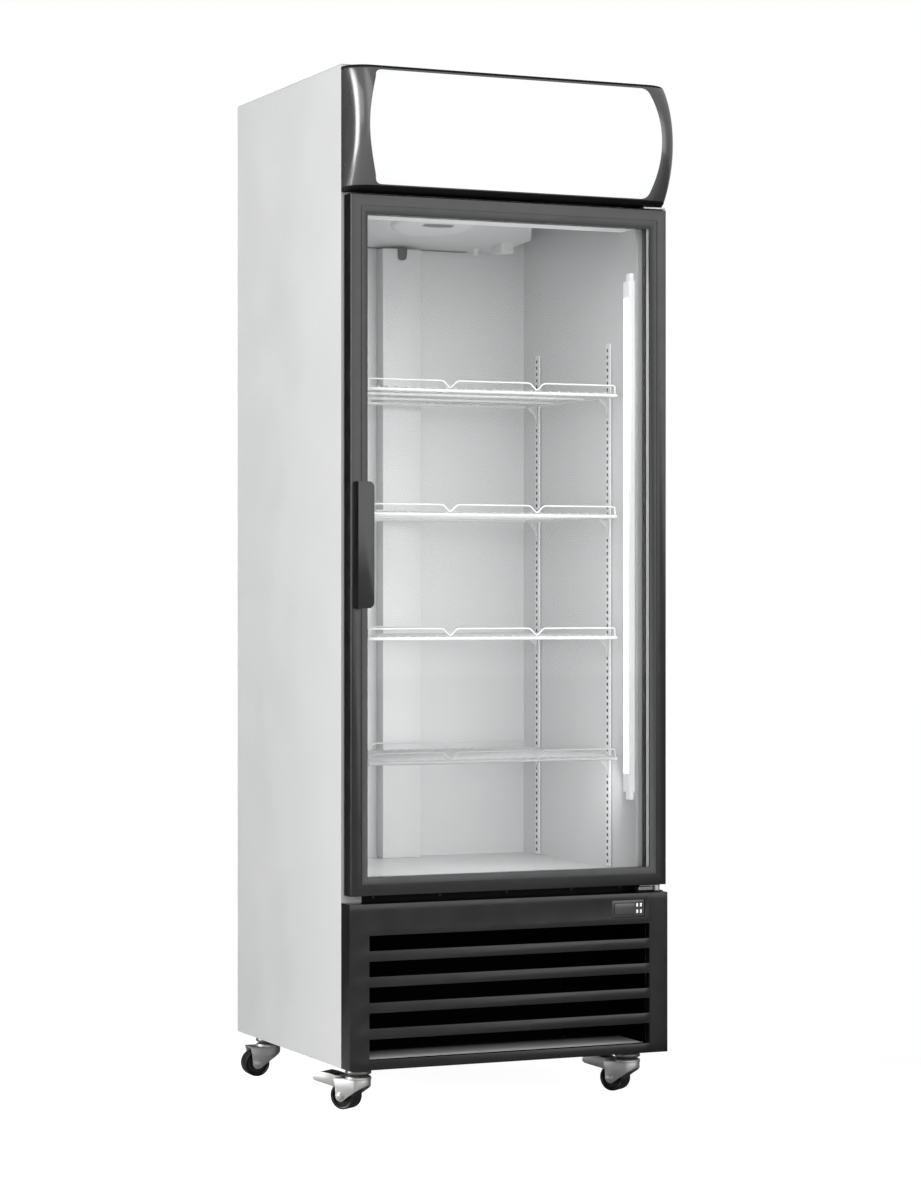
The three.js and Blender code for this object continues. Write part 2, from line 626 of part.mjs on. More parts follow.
function addStandards() {
  for (const [hand, side] of [['left', -1], ['right', 1]]) {
    for (const [place, y] of Object.entries(STANDARD_Y)) {
      const wall = CHAMBER_HALF - GAP;
      const strip = box(...span(side, wall - STANDARD_PROUD, wall),
        y - STANDARD_WIDE / 2, y + STANDARD_WIDE / 2, STANDARD_BOTTOM, STANDARD_TOP);
      const clips = SHELF_RAILS.map((rail) => {
        const top = rail - RAIL_DROP - SHELF_BAR - GAP;
        const root = (wall - STANDARD_PROUD + 1) * side;
        const nose = (wall - STANDARD_PROUD - CLIP_REACH) * side;
        const waist = (wall - STANDARD_PROUD - 6) * side;
        const gusset = outline([
          [root, top], [nose, top], [nose, top - 3], [waist, top - 17], [root, top - CLIP_DROP],
        ]);
        return prism('y', gusset, y - CLIP_THICK / 2, y + CLIP_THICK / 2);
      });
      part(`standard_${place}_${hand}`, 'whiteSteel', joined([strip, ...clips]));
    }
  }
}

// One shelf with its rail tops at Z = 0.
function shelfBody() {
  const meshTop = -RAIL_DROP;
  const barBottom = meshTop - SHELF_BAR;
  const edge = 5;
  const inner = { x: SHELF_HALF - edge, y0: SHELF_FRONT + edge, y1: SHELF_REAR - edge };
  const columns = 9;
  const wire = 3;
  const cell = (2 * inner.x - (columns - 1) * wire) / columns;
  const middle = (inner.y0 + inner.y1) / 2;
  const cells = Array.from({ length: columns }, (_, i) => -inner.x + i * (cell + wire))
    .flatMap((x) => [[x, x + cell, inner.y0, middle - wire], [x, x + cell, middle + wire, inner.y1]]);
  const whole = rectangle(-SHELF_HALF, SHELF_HALF, SHELF_FRONT, SHELF_REAR);
  const mesh = pierced('z', whole, cells, meshTop - SHELF_MESH, meshTop);
  const rim = pierced('z', whole, [[-inner.x, inner.x, inner.y0, inner.y1]], barBottom, meshTop - 1);
  const rails = [SHELF_FRONT, SHELF_REAR - RAIL_WIRE].flatMap((y) => {
    const bar = box(-RAIL_HALF, RAIL_HALF, y, y + RAIL_WIRE, -RAIL_WIRE, 0);
    const posts = [-RAIL_HALF, -NOTCH_X, NOTCH_X - RAIL_WIRE, RAIL_HALF - RAIL_WIRE].map((x) => box(
      x, x + RAIL_WIRE, y, y + RAIL_WIRE, meshTop - 1, -1));
    return [bar, ...posts];
  });
  return joined([mesh, rim, ...rails]);
}

function addShelves() {
  const body = shelfBody();
  SHELF_RAILS.forEach((z, i) => {
    part(`shelf_${i + 1}`, 'whiteWire', body).position.set(0, 0, z);
  });
}

function addInteriorLamp() {
  const wall = CHAMBER_HALF - GAP;
  const housing = box(wall - 11.5, wall, FRONT + 5, FRONT + 35, 574, 1550);
  const caps = [[559, 574], [1550, 1565]].map(([z0, z1]) => box(
    wall - 8, wall, FRONT + 8, FRONT + 32, z0, z1));
  part('interior_lamp', 'lamp', joined([housing, ...caps]));
}

// ---------------------------------------------------------------- door and its hinges

function addDoor() {
  const pocketHalf = PANE_HALF + POCKET;
  const pocketBottom = PANE_BOTTOM - POCKET;
  const pocketTop = PANE_TOP + POCKET;
  const outerRear = OUTER_GLASS_FACE + GLASS;
  const innerFront = outerRear + PANE_GAP;
  const rearLipFront = innerFront + GLASS + GAP;
  const lip = REAR_LIP_HALF - PANE_HALF;

  const rim = ring(DOOR_HALF, DOOR_BOTTOM, DOOR_TOP, pocketHalf, pocketBottom, pocketTop,
    DOOR_FACE, DOOR_REAR);
  const frontLip = ring(DOOR_HALF - 5, DOOR_BOTTOM + 5, DOOR_TOP - 5, PANE_HALF, PANE_BOTTOM, PANE_TOP,
    DOOR_FACE, OUTER_GLASS_FACE - GAP);
  const rearLip = ring(DOOR_HALF - 5, DOOR_BOTTOM + 5, DOOR_TOP - 5,
    REAR_LIP_HALF, PANE_BOTTOM - lip, PANE_TOP + lip, rearLipFront, DOOR_REAR);
  const pinWells = [
    rod([HINGE_X, HINGE_Y, DOOR_BOTTOM - 1], [HINGE_X, HINGE_Y, DOOR_BOTTOM + 13], HINGE_PIN_R + GAP, 24),
    rod([HINGE_X, HINGE_Y, DOOR_TOP - 13], [HINGE_X, HINGE_Y, DOOR_TOP + 1], HINGE_PIN_R + GAP, 24),
  ];
  part('door_frame', 'black', cut(joined([rim, frontLip, rearLip]), pinWells));

  const paneHalf = pocketHalf - GAP;
  const z0 = pocketBottom + GAP;
  const z1 = pocketTop - GAP;
  const outer = box(-paneHalf, paneHalf, OUTER_GLASS_FACE, outerRear - GAP / 2, z0, z1);
  part('outer_glass', 'glass', outer);
  const inner = box(-paneHalf, paneHalf, innerFront + GAP / 2, innerFront + GLASS, z0, z1);
  part('inner_glass', 'glass', inner);
  const bar = 10;
  part('glass_spacer', 'aluminium', ring(REAR_LIP_HALF + bar, PANE_BOTTOM - lip - bar, PANE_TOP + lip + bar,
    REAR_LIP_HALF, PANE_BOTTOM - lip, PANE_TOP + lip, outerRear + GAP, innerFront - GAP));

  const sealOut = 311;
  const sealIn = 291;
  const inset = DOOR_HALF - sealOut;
  part('door_gasket', 'gasket', ring(sealOut, DOOR_BOTTOM + inset, DOOR_TOP - inset, sealIn,
    DOOR_BOTTOM + inset + 20, DOOR_TOP - inset - 20, DOOR_REAR + GAP, FRONT - GAP));

  const pull = { x0: -318, x1: -286.6, z0: 926, z1: 1156.6, face: FRONT - 67.6, wall: 4.5 };
  const root = DOOR_FACE - GAP;
  const angle = prism('z', outline([
    [pull.x0, pull.face], [pull.x1, pull.face], [pull.x1, pull.face + pull.wall],
    [pull.x0 + pull.wall, pull.face + pull.wall], [pull.x0 + pull.wall, root], [pull.x0, root],
  ]), pull.z0, pull.z1);
  const corner = 11;
  const profile = new THREE.Shape();
  profile.moveTo(pull.x0, pull.z1);
  profile.lineTo(pull.x0, pull.z0);
  profile.absarc(pull.x1 - corner, pull.z0 + corner, corner, -Math.PI / 2, 0);
  profile.absarc(pull.x1 - corner, pull.z1 - corner, corner, 0, Math.PI / 2);
  part('door_handle', 'black', angle.intersect(prism('y', profile, pull.face - 1, root + 1, 6)));
}

function addHinges() {
  const reach = 14;
  const plateFront = HINGE_Y - reach;
  const rear = FRONT - GAP;
  const bracket = (z0, z1, pinEnd, flange) => {
    const plate = box(276, 322, plateFront, rear, z0, z1);
    const foot = box(276, 322, rear - 3, rear, ...flange);
    const pin = rod([HINGE_X, HINGE_Y, (z0 + z1) / 2], [HINGE_X, HINGE_Y, pinEnd], HINGE_PIN_R, 24);
    return joined([plate, foot, pin]);
  };
  const lowPlate = [GRILLE_TOP + 1.3, GRILLE_TOP + 4.8];
  const bush = rod([HINGE_X, HINGE_Y, lowPlate[0]], [HINGE_X, HINGE_Y, DOOR_BOTTOM - 1], 8.5, 24);
  part('bottom_hinge_bracket', 'zinc',
    bracket(...lowPlate, DOOR_BOTTOM + 11, [lowPlate[0], DOOR_BOTTOM - 1]).add(bush));
  const highPlate = [DOOR_TOP + 1.5, DOOR_TOP + 5];
  part('top_hinge_bracket', 'zinc', bracket(...highPlate, DOOR_TOP - 11, [highPlate[0], HEADER_BOTTOM - 1]));
}

// ---------------------------------------------------------------- casters

// Every caster is built with its swivel axis on Z and its wheel trailing towards +X.
function casterFork() {
  const crown = rod([0, 0, 58], [0, 0, FORK_TOP], 24.5, 20);
  const legIn = WHEEL_HALF + 2;
  const legOut = legIn + 2.2;
  const bridge = box(-22, 26, -legOut, legOut, 55.5, 58.5);
  const side = new THREE.Shape();
  side.moveTo(-22, 58.5);
  side.lineTo(-23, 55);
  side.lineTo(TRAIL - 7.5, WHEEL_R - 7);
  side.absarc(TRAIL, WHEEL_R, 10, 1.3 * Math.PI, 2 * Math.PI);
  side.lineTo(TRAIL + 10, 58.5);
  const legs = [[-legOut, -legIn], [legIn, legOut]].map(([y0, y1]) => prism('y', side, y0, y1, 6));
  const axle = rod([TRAIL, -legOut - 4, WHEEL_R], [TRAIL, legOut + 4, WHEEL_R], 4, 12);
  const heads = [[-legOut - 3.5, -legOut + 0.5], [legOut - 0.5, legOut + 3.5]].map(([y0, y1]) => rod(
    [TRAIL, y0, WHEEL_R], [TRAIL, y1, WHEEL_R], 6.2, 6));
  return joined([crown, bridge, ...legs, axle, ...heads]);
}

function casterWheel() {
  const shoulder = 4;
  const bore = 4 + GAP;
  const face = WHEEL_HALF - 1;
  const tyre = turned([
    [bore, -WHEEL_HALF], [10, -WHEEL_HALF], [10, -face],
    [WHEEL_R - shoulder, -face], [WHEEL_R, -face + shoulder],
    [WHEEL_R, face - shoulder], [WHEEL_R - shoulder, face],
    [10, face], [10, WHEEL_HALF], [bore, WHEEL_HALF], [bore, -WHEEL_HALF],
  ], 24);
  return tyre.rotate([90, 0, 0]).translate([TRAIL, 0, WHEEL_R]);
}

function brakePedal() {
  const half = 15;
  const wall = 2;
  const side = outline([
    [29, 52.5], [40, 52.5], [88, 50], [92, 55], [90, 60], [70, 64], [40, 56], [29, 55.2],
  ]);
  const under = outline([[42, 50], [86, 48], [86, 54], [68, 58.5], [42, 52]]);
  return prism('y', side, -half, half).subtract(prism('y', under, wall - half, half - wall));
}

function casterPlate() {
  const half = 31;
  const plate = box(-half, half, -half, half, 80.5, BODY_BOTTOM);
  const race = turned([[0, FORK_TOP + GAP], [24, FORK_TOP + GAP], [24, 74], [20, 80.7], [0, 80.7]], 20);
  return plate.add(race);
}

const CASTERS = [
  { place: 'front_left', x: -CASTER_X, y: CASTER_Y.front, trail: 123.5, brake: true },
  { place: 'front_right', x: CASTER_X, y: CASTER_Y.front, trail: 123.5, brake: true },
  { place: 'rear_left', x: -CASTER_X, y: CASTER_Y.rear, trail: 177, brake: false },
  { place: 'rear_right', x: CASTER_X, y: CASTER_Y.rear, trail: 150, brake: false },
];

function addCasters() {
  for (const { place, x, y, trail, brake } of CASTERS) {
    const base = new THREE.Group();
    base.position.set(x, y, 0);
    merchandiser.add(base);
    part(`caster_plate_${place}`, 'zinc', casterPlate(), base);
    const swivel = new THREE.Group();
    swivel.rotation.z = THREE.MathUtils.degToRad(trail);
    base.add(swivel);
    part(`caster_fork_${place}`, 'zinc', casterFork(), swivel);
    part(`caster_wheel_${place}`, 'rubber', casterWheel(), swivel);
    if (brake) part(`brake_pedal_${place}`, 'zinc', brakePedal(), swivel);
  }
}

// ---------------------------------------------------------------- assembly

addCasing();
addInsulation();
addHeader();
addGrille();
addController();
addDeck();
addEvaporator();
addStandards();
addShelves();
addInteriorLamp();
addDoor();
addHinges();
addCasters();

export default merchandiser;
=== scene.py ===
"""Looks for the glass door merchandiser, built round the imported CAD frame.

The frame is in metres, +Z up, the front faces -Y, X = 0 is the cabinet's centre plane and Z = 0 is the floor.
The new pieces are drawn in millimetres of the same frame.
"""

import math

import bmesh
import bpy
from mathutils import Matrix, Vector


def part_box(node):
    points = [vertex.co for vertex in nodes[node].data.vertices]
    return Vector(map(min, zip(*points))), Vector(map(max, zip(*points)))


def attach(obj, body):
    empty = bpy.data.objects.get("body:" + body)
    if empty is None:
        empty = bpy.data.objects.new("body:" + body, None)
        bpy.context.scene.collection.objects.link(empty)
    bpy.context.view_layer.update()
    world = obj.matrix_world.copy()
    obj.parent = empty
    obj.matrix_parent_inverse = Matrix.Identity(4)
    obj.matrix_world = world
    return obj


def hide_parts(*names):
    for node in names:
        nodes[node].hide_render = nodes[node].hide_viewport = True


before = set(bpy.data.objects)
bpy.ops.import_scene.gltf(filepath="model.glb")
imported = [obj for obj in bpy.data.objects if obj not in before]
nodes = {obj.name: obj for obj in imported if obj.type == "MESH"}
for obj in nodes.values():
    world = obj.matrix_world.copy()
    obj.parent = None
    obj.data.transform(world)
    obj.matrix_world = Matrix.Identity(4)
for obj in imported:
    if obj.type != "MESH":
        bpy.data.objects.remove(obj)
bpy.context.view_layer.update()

MM = 0.001


def box_mm(node):
    """The low and high corners of a CAD node, in millimetres."""
    return [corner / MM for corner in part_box(node)]


side_lo, side_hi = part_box("left_side_panel")
sign_lo, sign_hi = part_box("header_sign")
FRONT = side_lo.y
FRONT_MM = FRONT / MM
BACK_MM = side_hi.y / MM
HALF_MM = -side_lo.x / MM
SEAT = FRONT_MM - 0.3  # where the pieces that are fixed to the cabinet's front stop


# ------------------------------------------------------------------ shader nodes

def add_node(tree, kind, **settings):
    node = tree.nodes.new("ShaderNode" + kind)
    for name, value in settings.items():
        setattr(node, name, value)
    return node


def fresh_tree(owner, output="OutputMaterial"):
    """The emptied node tree of a material or a world, with its output."""
    owner.use_nodes = True
    owner.node_tree.nodes.clear()
    return owner.node_tree, add_node(owner.node_tree, output)


def map_range(tree, value, low, high, to_low, to_high, curve="LINEAR"):
    """Maps low..high to to_low..to_high, and holds the ends beyond."""
    node = add_node(tree, "MapRange", interpolation_type=curve)
    for name, number in zip(("From Min", "From Max", "To Min", "To Max"), (low, high, to_low, to_high)):
        node.inputs[name].default_value = number
    tree.links.new(value, node.inputs["Value"])
    return node.outputs[0]


def along(tree, vector, heading):
    """How far a vector runs along a heading."""
    node = add_node(tree, "VectorMath", operation="DOT_PRODUCT")
    tree.links.new(vector, node.inputs[0])
    node.inputs[1].default_value = heading
    return node.outputs["Value"]


def mix_colours(tree, factor, first, second=None):
    """Mixes two colours; the second is left for a link when it isn't given."""
    mix = add_node(tree, "Mix", data_type="RGBA")
    mix.inputs[6].default_value = (*first, 1)
    if second:
        mix.inputs[7].default_value = (*second, 1)
    tree.links.new(factor, mix.inputs[0])
    return mix


def mix_shaders(tree, out, factor, first, second):
    """Sends a mix of two shaders to the output."""
    mix = add_node(tree, "MixShader")
    for source, socket in ((factor, "Fac"), (first, 1), (second, 2)):
        tree.links.new(source, mix.inputs[socket])
    tree.links.new(mix.outputs[0], out.inputs["Surface"])


def split_by_camera(tree, out, hidden, seen):
    """Shows one shader to the camera, and gives the other rays another."""
    mix_shaders(tree, out, add_node(tree, "LightPath").outputs["Is Camera Ray"], hidden, seen)


# ------------------------------------------------------------------ camera, floor and light

WORLD_LOW = 0.35  # from below the horizon
WORLD_HIGH = 0.6  # from overhead
WORLD_BEHIND = 0.05  # the part of those two that is left behind the cabinet
WORLD_FRONT = 3.3  # the broad glow in front, on the right
WORLD_BAND = 15.0  # the narrow upright band on the left
WORLD_SIDE = 2.2  # the wider upright band between the two
FLOOR_GLOW = 0.95  # added to the floor the camera sees
FLOOR_HALF = 30


def add_camera():
    data = bpy.data.cameras.new("photo_camera")
    data.lens = 95.62
    data.sensor_width = 36.0
    data.clip_start = 0.1
    data.clip_end = 100.0
    camera = bpy.data.objects.new("photo_camera", data)
    camera.location = (-2.4806, FRONT - 5.4215, 0.9419)
    camera.rotation_euler = (math.radians(90), 0, math.radians(-23.83))
    bpy.context.scene.collection.objects.link(camera)
    bpy.context.scene.camera = camera


def add_world():
    """White to the camera, and a soft studio to everything else: bright above, dim below, a broad glow in
    front on the right, upright bands on the left, and little behind."""
    world = bpy.data.worlds.new("studio")
    tree, out = fresh_tree(world, "OutputWorld")
    link = tree.links.new
    direction = add_node(tree, "TexCoord").outputs["Generated"]
    flatten = add_node(tree, "VectorMath", operation="MULTIPLY")
    flatten.inputs[1].default_value = (1, 1, 0)
    link(direction, flatten.inputs[0])
    level = add_node(tree, "VectorMath", operation="NORMALIZE")
    link(flatten.outputs[0], level.inputs[0])

    def towards(vector, *heading):
        return along(tree, vector, Vector(heading).normalized())

    def ease(value, low, high, to_low, to_high):
        return map_range(tree, value, low, high, to_low, to_high, "SMOOTHSTEP")

    def combine(operation, a, b):
        node = add_node(tree, "Math", operation=operation)
        link(a, node.inputs[0])
        link(b, node.inputs[1])
        return node.outputs[0]

    compass = level.outputs[0]
    height = towards(direction, 0, 0, 1)
    base = map_range(tree, height, -0.35, 1.0, WORLD_LOW, WORLD_HIGH)
    total = combine("MULTIPLY", base, ease(towards(compass, -0.5, 0.87, 0), 0.35, 0.75, 1.0, WORLD_BEHIND))
    front = ease(towards(direction, 0.4, -0.9, 0.12), 0.7, 1.0, 0.0, WORLD_FRONT)
    side = ease(towards(compass, -0.5, -0.866, 0), 0.86, 1.0, 0.0, WORLD_SIDE)
    band = combine("MULTIPLY", ease(towards(compass, -0.94, 0.342, 0), 0.955, 1.0, 0.0, WORLD_BAND),
                   ease(height, 0.45, 0.85, 1.0, 0.0))
    for glow in (front, side, band):
        total = combine("ADD", total, glow)

    around = add_node(tree, "Background")
    link(total, around.inputs["Strength"])
    seen = add_node(tree, "Background")
    seen.inputs["Color"].default_value = (1, 1, 1, 1)
    seen.inputs["Strength"].default_value = 1.0
    split_by_camera(tree, out, around.outputs[0], seen.outputs[0])
    bpy.context.scene.world = world


def add_floor():
    """A plain floor that stays white to the camera, and bounces more light in front and on the left."""
    e = FLOOR_HALF
    mesh = bpy.data.meshes.new("studio_floor")
    mesh.from_pydata([(-e, -e, 0), (e, -e, 0), (e, e, 0), (-e, e, 0)], [], [(0, 1, 2, 3)])
    floor = bpy.data.objects.new("studio_floor", mesh)
    bpy.context.scene.collection.objects.link(floor)
    material = bpy.data.materials.new("studio_floor")
    tree, out = fresh_tree(material)
    link = tree.links.new
    place = along(tree, add_node(tree, "TexCoord").outputs["Object"], (0.67, 0.74, 0))
    matt = add_node(tree, "BsdfDiffuse")
    link(map_range(tree, place, -0.8, 0.6, 0.7, 0.06), matt.inputs["Color"])
    glow = add_node(tree, "Emission")
    glow.inputs["Strength"].default_value = FLOOR_GLOW
    both = add_node(tree, "AddShader")
    link(glow.outputs[0], both.inputs[0])
    link(matt.outputs[0], both.inputs[1])
    split_by_camera(tree, out, matt.outputs[0], both.outputs[0])
    mesh.materials.append(material)


def area_light(name, place, target, size, power):
    data = bpy.data.lights.new(name, "AREA")
    data.shape = "RECTANGLE"
    data.size, data.size_y = size
    data.energy = power
    lamp = bpy.data.objects.new(name, data)
    lamp.location = place
    lamp.rotation_euler = (Vector(target) - Vector(place)).to_track_quat("-Z", "Y").to_euler()
    bpy.context.scene.collection.objects.link(lamp)


bpy.context.scene.view_settings.view_transform = "Standard"
add_camera()
add_world()
add_floor()
# Each with its place, its target, its size and its watts
area_light("key_left", (-4.4, -0.8, 3.6), (0, 0, 1.3), (1.8, 2.4), 26)
area_light("inside_front", (0, FRONT + 0.008, 1.07), (0, FRONT + 1, 1.15), (0.5, 1.05), 2.2)
area_light("inside_floor", (0, FRONT + 0.06, 0.60), (0, 0.2, 0.42), (0.5, 0.05), 0.32)
area_light("strip_left", (-3.1, 0.75, 0.8), (-0.3, -0.3, 1.3), (0.4, 1.6), 12)


# ------------------------------------------------------------------ materials

def noise(tree, coords, scale, detail, stretch):
    """A noise texture in metres of the object, stretched along an axis where asked."""
    texture = add_node(tree, "TexNoise")
    texture.inputs["Scale"].default_value = scale
    texture.inputs["Detail"].default_value = detail
    source = coords.outputs["Object"]
    if stretch:
        mapping = add_node(tree, "Mapping")
        mapping.inputs["Scale"].default_value = stretch
        tree.links.new(source, mapping.inputs["Vector"])
        source = mapping.outputs[0]
    tree.links.new(source, texture.inputs["Vector"])
    return texture.outputs["Fac"]


def finish(name, colour, rough, metal=0.0, *, vary=0.03, rough_vary=0.05, grain=900.0, bump=0.02, cloud=3.0,
           stretch=None, coat=0.0, glow=0.0, specular=0.5, painted_shade_span=None):
    """A procedural surface: broad colour variation, uneven gloss and a fine bump. Where asked it has an even
    white glow, which is painted light on parts that are no lamps, or painted shade that darkens it to black
    between two values of Y."""
    material = bpy.data.materials.new(name)
    tree, out = fresh_tree(material)
    link = tree.links.new
    coords = add_node(tree, "TexCoord")
    shader = add_node(tree, "BsdfPrincipled")
    for socket, number in (("Metallic", metal), ("Specular IOR Level", specular), ("Coat Weight", coat),
                           ("Coat Roughness", 0.15)):
        shader.inputs[socket].default_value = number
    low = tuple(c * (1 - vary) for c in colour)
    high = tuple(min(1.0, c * (1 + vary)) for c in colour)
    shade = mix_colours(tree, noise(tree, coords, cloud, 3.0, stretch), low, high)
    # Painted shade: the colour is darkened to black between two values of Y, where shade falls
    if painted_shade_span:
        place = add_node(tree, "SeparateXYZ")
        link(coords.outputs["Object"], place.inputs[0])
        shade_amount = map_range(tree, place.outputs["Y"], *painted_shade_span, 1.0, 0.0)
        painted_shade_colour = mix_colours(tree, shade_amount, (0.002, 0.002, 0.002))
        link(shade.outputs[2], painted_shade_colour.inputs[7])
        shade = painted_shade_colour
    link(shade.outputs[2], shader.inputs["Base Color"])
    gloss = map_range(tree, noise(tree, coords, cloud * 7, 3.0, stretch), 0.3, 0.7,
                      max(0.02, rough - rough_vary), min(1.0, rough + rough_vary))
    link(gloss, shader.inputs["Roughness"])
    if bump:
        relief = add_node(tree, "Bump")
        relief.inputs["Strength"].default_value = bump
        relief.inputs["Distance"].default_value = 0.0004
        link(noise(tree, coords, grain, 2.0, stretch), relief.inputs["Height"])
        link(relief.outputs[0], shader.inputs["Normal"])
    if glow:
        shader.inputs["Emission Color"].default_value = (1, 1, 1, 1)
        shader.inputs["Emission Strength"].default_value = glow
    link(shader.outputs[0], out.inputs["Surface"])
    return material


def glass_pane(name):
    """Clear glass, with a sharp reflection that grows towards grazing angles."""
    material = bpy.data.materials.new(name)
    tree, out = fresh_tree(material)
    through = add_node(tree, "BsdfTransparent")
    through.inputs["Color"].default_value = (0.99, 0.992, 0.992, 1)
    mirror = add_node(tree, "BsdfGlossy")
    mirror.inputs["Roughness"].default_value = 0.03
    fresnel = add_node(tree, "Fresnel")
    fresnel.inputs["IOR"].default_value = 1.15
    mix_shaders(tree, out, fresnel.outputs[0], through.outputs[0], mirror.outputs[0])
    return material


def lit_sign(name, half_x, z0, z1):
    """A backlit acrylic sign: white in the middle, faintly blue towards its corners."""
    material = bpy.data.materials.new(name)
    tree, out = fresh_tree(material)
    link = tree.links.new
    middle = (z0 + z1) / 2
    mapping = add_node(tree, "Mapping")
    mapping.inputs["Location"].default_value = (0, 0, -middle / (z1 - middle))
    mapping.inputs["Scale"].default_value = (1 / half_x, 0, 1 / (z1 - middle))
    link(add_node(tree, "TexCoord").outputs["Object"], mapping.inputs["Vector"])
    distance = add_node(tree, "VectorMath", operation="LENGTH")
    link(mapping.outputs[0], distance.inputs[0])
    corner = map_range(tree, distance.outputs["Value"], 0.8, 1.4, 0.0, 1.0)
    tint = mix_colours(tree, corner, (1, 1, 1), (0.93, 0.935, 1.0))
    shader = add_node(tree, "BsdfPrincipled")
    shader.inputs["Base Color"].default_value = (0.02, 0.02, 0.02, 1)
    for socket, number in (("Roughness", 0.3), ("Specular IOR Level", 0.0), ("Emission Strength", 1.02)):
        shader.inputs[socket].default_value = number
    link(tint.outputs[2], shader.inputs["Emission Color"])
    link(shader.outputs[0], out.inputs["Surface"])
    return material


WHITE_STEEL = finish("white_powder_coat", (0.462, 0.464, 0.467), 0.42, vary=0.012, bump=0.06, grain=700,
                     cloud=1.2)
LINER = finish("white_liner", (0.6, 0.602, 0.605), 0.38, vary=0.012, bump=0.04, grain=500, cloud=1.5)
FOAM = finish("rigid_foam", (0.78, 0.7, 0.42), 0.9, vary=0.08, bump=0.6, grain=350, cloud=12)
BLACK = finish("black_powder_coat", (0.004, 0.004, 0.0041), 0.22, vary=0.06, bump=0.05, grain=1100, cloud=4)
GRILLE = finish("grille_powder_coat", (0.004, 0.004, 0.0041), 0.22, vary=0.06, bump=0.05, grain=1100, cloud=4,
                specular=0.38)
BLACK_GLOSS = finish("black_moulding", (0.012, 0.012, 0.0124), 0.24, vary=0.05, bump=0.03, cloud=4, coat=0.3)
HEADER = finish("header_moulding", (0.052, 0.052, 0.0525), 0.3, vary=0.04, bump=0.03, cloud=4, coat=1.0)
# Near-black painted shade for the dark inside of the machine deck and behind the fan guard's slots
SHADE_BLACK = finish("deck_painted_shade", (0.0015, 0.0015, 0.0016), 1.0, vary=0.2, bump=0.1, grain=300, cloud=9,
                    specular=0.0)
SILL = finish("sill_black", (0.005, 0.005, 0.0051), 0.7, vary=0.1, bump=0.08, grain=700, cloud=6,
              specular=0.12)
# The deck's floor sheet, with painted shade that darkens it to black towards the back of the compartment
DECK_SHEET = finish("deck_sheet", (0.9, 0.905, 0.91), 0.8, bump=0.05, grain=200, cloud=12, specular=0.05,
                    painted_shade_span=(FRONT - 0.02, FRONT + 0.085))
SIGN = lit_sign("lit_sign", sign_hi.x, sign_lo.z, sign_hi.z)
LAMP = finish("lamp_diffuser", (0.95, 0.95, 0.95), 0.35, vary=0.01, bump=0.0, glow=2.8)
# Painted light: an even faint glow on the lamp's housing and end caps, which are not lit themselves
LAMP_BODY_GLOW = finish("lamp_body_painted_light", (0.78, 0.78, 0.79), 0.35, vary=0.01, glow=0.22)
GALVANISED = finish("galvanised_sheet", (0.42, 0.425, 0.43), 0.42, 0.6, vary=0.14, bump=0.05, grain=160,
                    cloud=55)
MACHINE = finish("machine_black", (0.012, 0.012, 0.013), 0.45, vary=0.1, bump=0.1, grain=500, cloud=9)
ALUMINIUM = finish("mill_aluminium", (0.62, 0.63, 0.64), 0.3, 1.0, vary=0.04, bump=0.04, grain=600,
                   stretch=(1, 1, 0.05))
STANDARD = finish("standard_white", (0.74, 0.745, 0.75), 0.35, vary=0.015, bump=0.04, cloud=6)
# The shelf wires' white coat with a faint even glow: painted light
WIRE = finish("white_wire_coat_painted_light", (0.52, 0.522, 0.525), 0.35, vary=0.02, bump=0.05, grain=1200, cloud=9,
              glow=0.05)
# The key caps' white with a faint even glow: painted light
KEY_GLOW = finish("key_white", (0.85, 0.85, 0.85), 0.35, vary=0.02, glow=0.18)
GASKET = finish("gasket_rubber", (0.12, 0.122, 0.125), 0.6, vary=0.06, bump=0.12, grain=1400, cloud=9)
ZINC = finish("zinc_plate", (0.40, 0.40, 0.396), 0.42, 0.85, vary=0.02, rough_vary=0.02, bump=0.01, grain=420,
              cloud=20)
# A darker copy of the zinc: painted shade on the swivel races and the hinge strip
SHADED_ZINC = finish("zinc_painted_shade", (0.16, 0.16, 0.158), 0.35, 0.8, vary=0.04, bump=0.03, grain=420, cloud=20)
TYRE = finish("tyre_black", (0.006, 0.006, 0.0062), 0.3, vary=0.1, bump=0.08, cloud=20, specular=0.3)
PANE = glass_pane("door_glass")
# A lighter copy of the cover's white: painted light on the fan dome
DISH_LIT = finish("dish_white_painted_light", (0.74, 0.742, 0.745), 0.34, vary=0.01, bump=0.03, grain=600)
SLOT_DARK = finish("slot_shadow", (0.03, 0.03, 0.03), 0.9, vary=0.1, bump=0.05, grain=300, cloud=9)
CLIP = finish("clip_zinc", (0.6, 0.6, 0.6), 0.35, 0.35, vary=0.05, bump=0.04, grain=500, cloud=20)
# A whiter copy of the liner with a faint glow: a painted highlight on the trim at the top of the door opening
MOUTH_HIGHLIGHT = finish("mouth_painted_highlight", (0.9, 0.9, 0.9), 0.4, vary=0.01, glow=0.08)
LINER_COVER = finish("cover_white", (0.66, 0.662, 0.665), 0.34, vary=0.01, bump=0.03, grain=600)
PROBE = finish("probe_grey", (0.035, 0.035, 0.036), 0.5, vary=0.05, bump=0.05)
DISPLAY = finish("display_window", (0.03, 0.031, 0.032), 0.15, vary=0.04, bump=0.0, coat=0.35)


# ------------------------------------------------------------------ mesh building, in millimetres

ORIGIN = (0, 0, 0)
UP = (0, 0, 1)
# Where the point (u, v) of an outline goes, at w along the axis it is run along
RUN_ALONG = {"x": lambda u, v, w: (w, u, v), "y": lambda u, v, w: (u, w, v), "z": lambda u, v, w: (u, v, w)}


